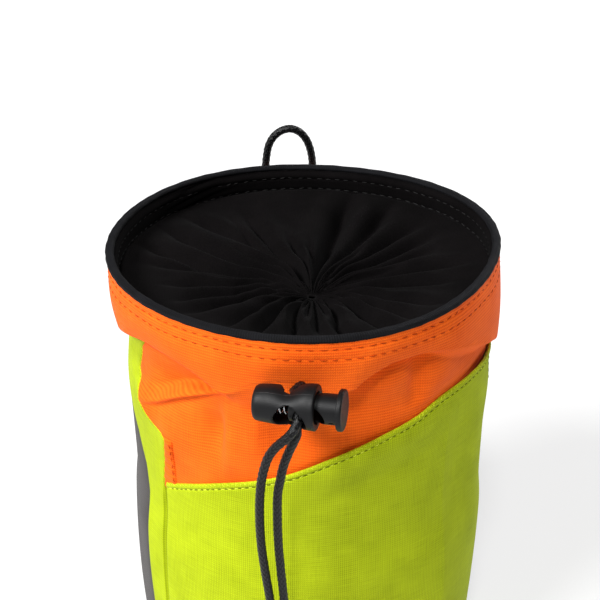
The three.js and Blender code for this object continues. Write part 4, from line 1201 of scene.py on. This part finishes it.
def moulded_piece(name, base, cutters, additions, voxel, material, body, node):
    """Cuts and joins solids, and rounds the result's edges as a moulding's are."""
    for tool, operation in [(a, "UNION") for a in additions] + [(c, "DIFFERENCE") for c in cutters]:
        change = base.modifiers.new(tool.name, "BOOLEAN")
        change.object = tool
        change.operation = operation
        change.solver = "EXACT"
    remesh = base.modifiers.new("remesh", "REMESH")
    remesh.mode = "VOXEL"
    remesh.voxel_size = voxel
    soften = base.modifiers.new("soften", "SMOOTH")
    soften.factor = 0.5
    soften.iterations = 4
    bpy.context.view_layer.update()
    mesh = bpy.data.meshes.new_from_object(base.evaluated_get(bpy.context.evaluated_depsgraph_get()))
    for tool in [base] + cutters + additions:
        bpy.data.objects.remove(tool)
    mesh.transform(Matrix.Scale(MM, 4))
    mesh.polygons.foreach_set("use_smooth", np.full(len(mesh.polygons), True))
    mesh.materials.clear()
    mesh.materials.append(material)
    obj = bpy.data.objects.new(name, mesh)
    bpy.context.scene.collection.objects.link(obj)
    obj.matrix_world = lock_place()
    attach(obj, body)
    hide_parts(node)


def make_lock():
    sides = 120
    along = np.concatenate([np.linspace(0, 1.4, 12), np.linspace(1.4, LOCK_LENGTH, 70)[1:]])
    share = along / LOCK_LENGTH
    swell = curve([(0, 0.84), (0.012, 0.93), (0.035, 0.975), (0.08, 1), (0.5, 1), (0.97, 1), (0.99, 0.985),
                   (1, 0.96)], share)
    radius = mix(LOCK_ENDS[0], LOCK_ENDS[1], share) / 2 * swell
    turn = np.linspace(0, 2 * np.pi, sides, endpoint=False)
    dip = (LOCK_DIP * bump(share, 0.55, 0.15) - 0.25 * bump(share, 0.86, 0.1) - 0.15 * bump(share, 0.2, 0.12))
    top = np.maximum(np.sin(turn), 0) ** 2
    points = np.stack([np.broadcast_to(along[:, None], (len(along), sides)), radius[:, None] * np.cos(turn),
                       radius[:, None] * np.sin(turn) - dip[:, None] * top], -1)
    barrel = round_solid("barrel_outer", points, sides)
    bore = round_solid("bore", [(BORE_END, BORE / 2), (LOCK_LENGTH + 2, BORE / 2)])
    pocket = round_solid("pocket_bore", [(LOCK_END_WALL, SPRING_POCKET / 2),
                                         (BORE_END + 1, SPRING_POCKET / 2)])
    hole = round_solid("hole", [(-14, LOCK_HOLE / 2), (14, LOCK_HOLE / 2)])
    tilt = Matrix.Rotation(math.radians(LOCK_HOLE_SLOPE), 4, "X")
    quarter = math.radians(90)
    hole.matrix_world = Matrix.Translation((LOCK_HOLE_AT, 0, 0)) @ tilt @ Matrix.Rotation(quarter, 4, "Z")
    moulded_piece("lock_barrel", barrel, [bore, pocket, hole], [], 0.19, BLACK_PLASTIC, "bag",
                  "cord_lock_barrel")

    neck = round_solid("neck", [(NECK_START, NECK / 2), (FLANGE_FACE + 0.7, NECK / 2)])
    end = FLANGE_FACE + FLANGE_THICKNESS
    flange = round_solid("flange", [(FLANGE_FACE, FLANGE / 2 - 0.15), (FLANGE_FACE + 0.15, FLANGE / 2),
                                    (end - 0.3, FLANGE / 2), (end - 0.06, FLANGE / 2 - 0.14),
                                    (end, FLANGE / 2 - 0.4)])
    half = SLOT_SIZE[0] / 2 - SLOT_SIZE[1] / 2 + 0.3
    reach = np.linspace(-np.pi / 2, np.pi / 2, 20)
    right = [(half + (SLOT_SIZE[1] / 2 - 0.3) * math.cos(r), SLOT_SIZE[1] / 2 * math.sin(r)) for r in reach]
    outline = right + [(-x, -y) for x, y in right]
    slot = prism("slot", outline, 9)
    slot.matrix_world = Matrix.Translation((SLOT_CENTRE, 0, 0)) @ tilt @ Matrix.Rotation(quarter, 4, "X")
    nick = prism("nick", [(-0.7, -0.3), (0.7, -0.3), (0.7, 0.3), (-0.7, 0.3)], 1.2)
    nick.matrix_world = (Matrix.Translation((FLANGE_FACE - 1.5, 0, 0))
                         @ Matrix.Rotation(math.radians(124), 4, "X") @ Matrix.Translation((0, 0, NECK / 2)))
    moulded_piece("lock_plunger", neck, [slot, nick], [flange], 0.165, BLACK_PLUNGER, "plunger",
                  "cord_lock_plunger")

    wire = np.linspace(0, 1, SPRING_TURNS * 48 + 1)
    coil = (SPRING_WIDTH - SPRING_WIRE) / 2
    start, finish = LOCK_END_WALL + SPRING_WIRE, NECK_START - SPRING_WIRE
    circle = 2 * np.pi * SPRING_TURNS * wire
    path = np.stack([mix(start, finish, wire), coil * np.cos(circle), coil * np.sin(circle)], -1)
    rings = capped(tube_points(path, SPRING_WIRE / 2, 12, first=(1, 0, 0)))
    turned = np.array(lock_place().to_3x3())
    world = rings[::-1].reshape(-1, 3) @ turned.T + np.array(LOCK_END)
    quads, _ = grid_faces(len(rings), 12, around=True)
    spring = make_object("lock_spring", world, quads, SPRING_STEEL)
    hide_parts("cord_lock_spring")
    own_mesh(spring)


def prism(name, outline, half_depth):
    """A temporary solid: an outline in X and Y, as deep as twice half_depth in Z."""
    count = len(outline)
    points = [(x, y, -half_depth) for x, y in outline] + [(x, y, half_depth) for x, y in outline]
    faces = [tuple(range(count))[::-1], tuple(range(count, 2 * count))]
    faces += [(i, (i + 1) % count, count + (i + 1) % count, count + i) for i in range(count)]
    mesh = bpy.data.meshes.new(name)
    mesh.from_pydata(points, [], faces)
    obj = bpy.data.objects.new(name, mesh)
    bpy.context.scene.collection.objects.link(obj)
    return obj


# Base
def make_base():
    columns = 240
    angle = np.linspace(0, 360, columns, endpoint=False)
    share = np.array([0.999, 0.985, 0.95, 0.9, 0.75, 0.5, 0.25, 0.02])
    radius = side_outer(angle, 0.6) - 1.7
    r = share[:, None] * radius[None, :]
    lift = np.where(share > 0.97, 0.25, 0.0)[:, None] + 0 * r
    points = place(np.broadcast_to(angle, r.shape), r, lift)
    quads, uv = grid_faces(len(share), columns, around=True)
    flat, quads, uv = thicken(points.reshape(-1, 3), quads, uv, BASE_THICKNESS)
    obj = make_object("base_cloth", flat, quads, GREY, uv / [columns, len(share)])
    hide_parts("base")


# The floor, the lights and the world
def make_stage():
    bpy.ops.mesh.primitive_plane_add(size=8, location=(0, 1.5, 0))
    floor = bpy.context.object
    floor.name = "floor"
    shader = Shader("floor", Roughness=0.9, Emission_Color=(1, 1, 1, 1), Emission_Strength=FLOOR_GLOW)
    floor.data.materials.append(shader.finish((0.3, 0.3, 0.3, 1)))
    world = bpy.data.worlds.new("world")
    world.use_nodes = True
    world.node_tree.nodes["Background"].inputs[0].default_value = (1, 1, 1, 1)
    world.node_tree.nodes["Background"].inputs[1].default_value = WORLD_LIGHT
    bpy.context.scene.world = world
    for name, azimuth, elevation, angle, strength in LIGHTS:
        data = bpy.data.lights.new(name, "SUN")
        data.energy = strength
        data.angle = math.radians(angle)
        lamp = bpy.data.objects.new(name, data)
        turn, tilt = math.radians(azimuth), math.radians(elevation)
        toward = Vector((math.sin(turn) * math.cos(tilt), -math.cos(turn) * math.cos(tilt), math.sin(tilt)))
        lamp.location = toward
        lamp.rotation_euler = (-toward).to_track_quat("-Z", "Y").to_euler()
        bpy.context.scene.collection.objects.link(lamp)
    bpy.context.scene.view_settings.view_transform = "Standard"


make_cords()
make_orange()
make_collar_stitches()
make_seam()
make_panels()
make_pocket()
make_piping()
make_facing()
make_closure()
make_casing()
make_base()
make_lock()
make_tab()
make_stage()
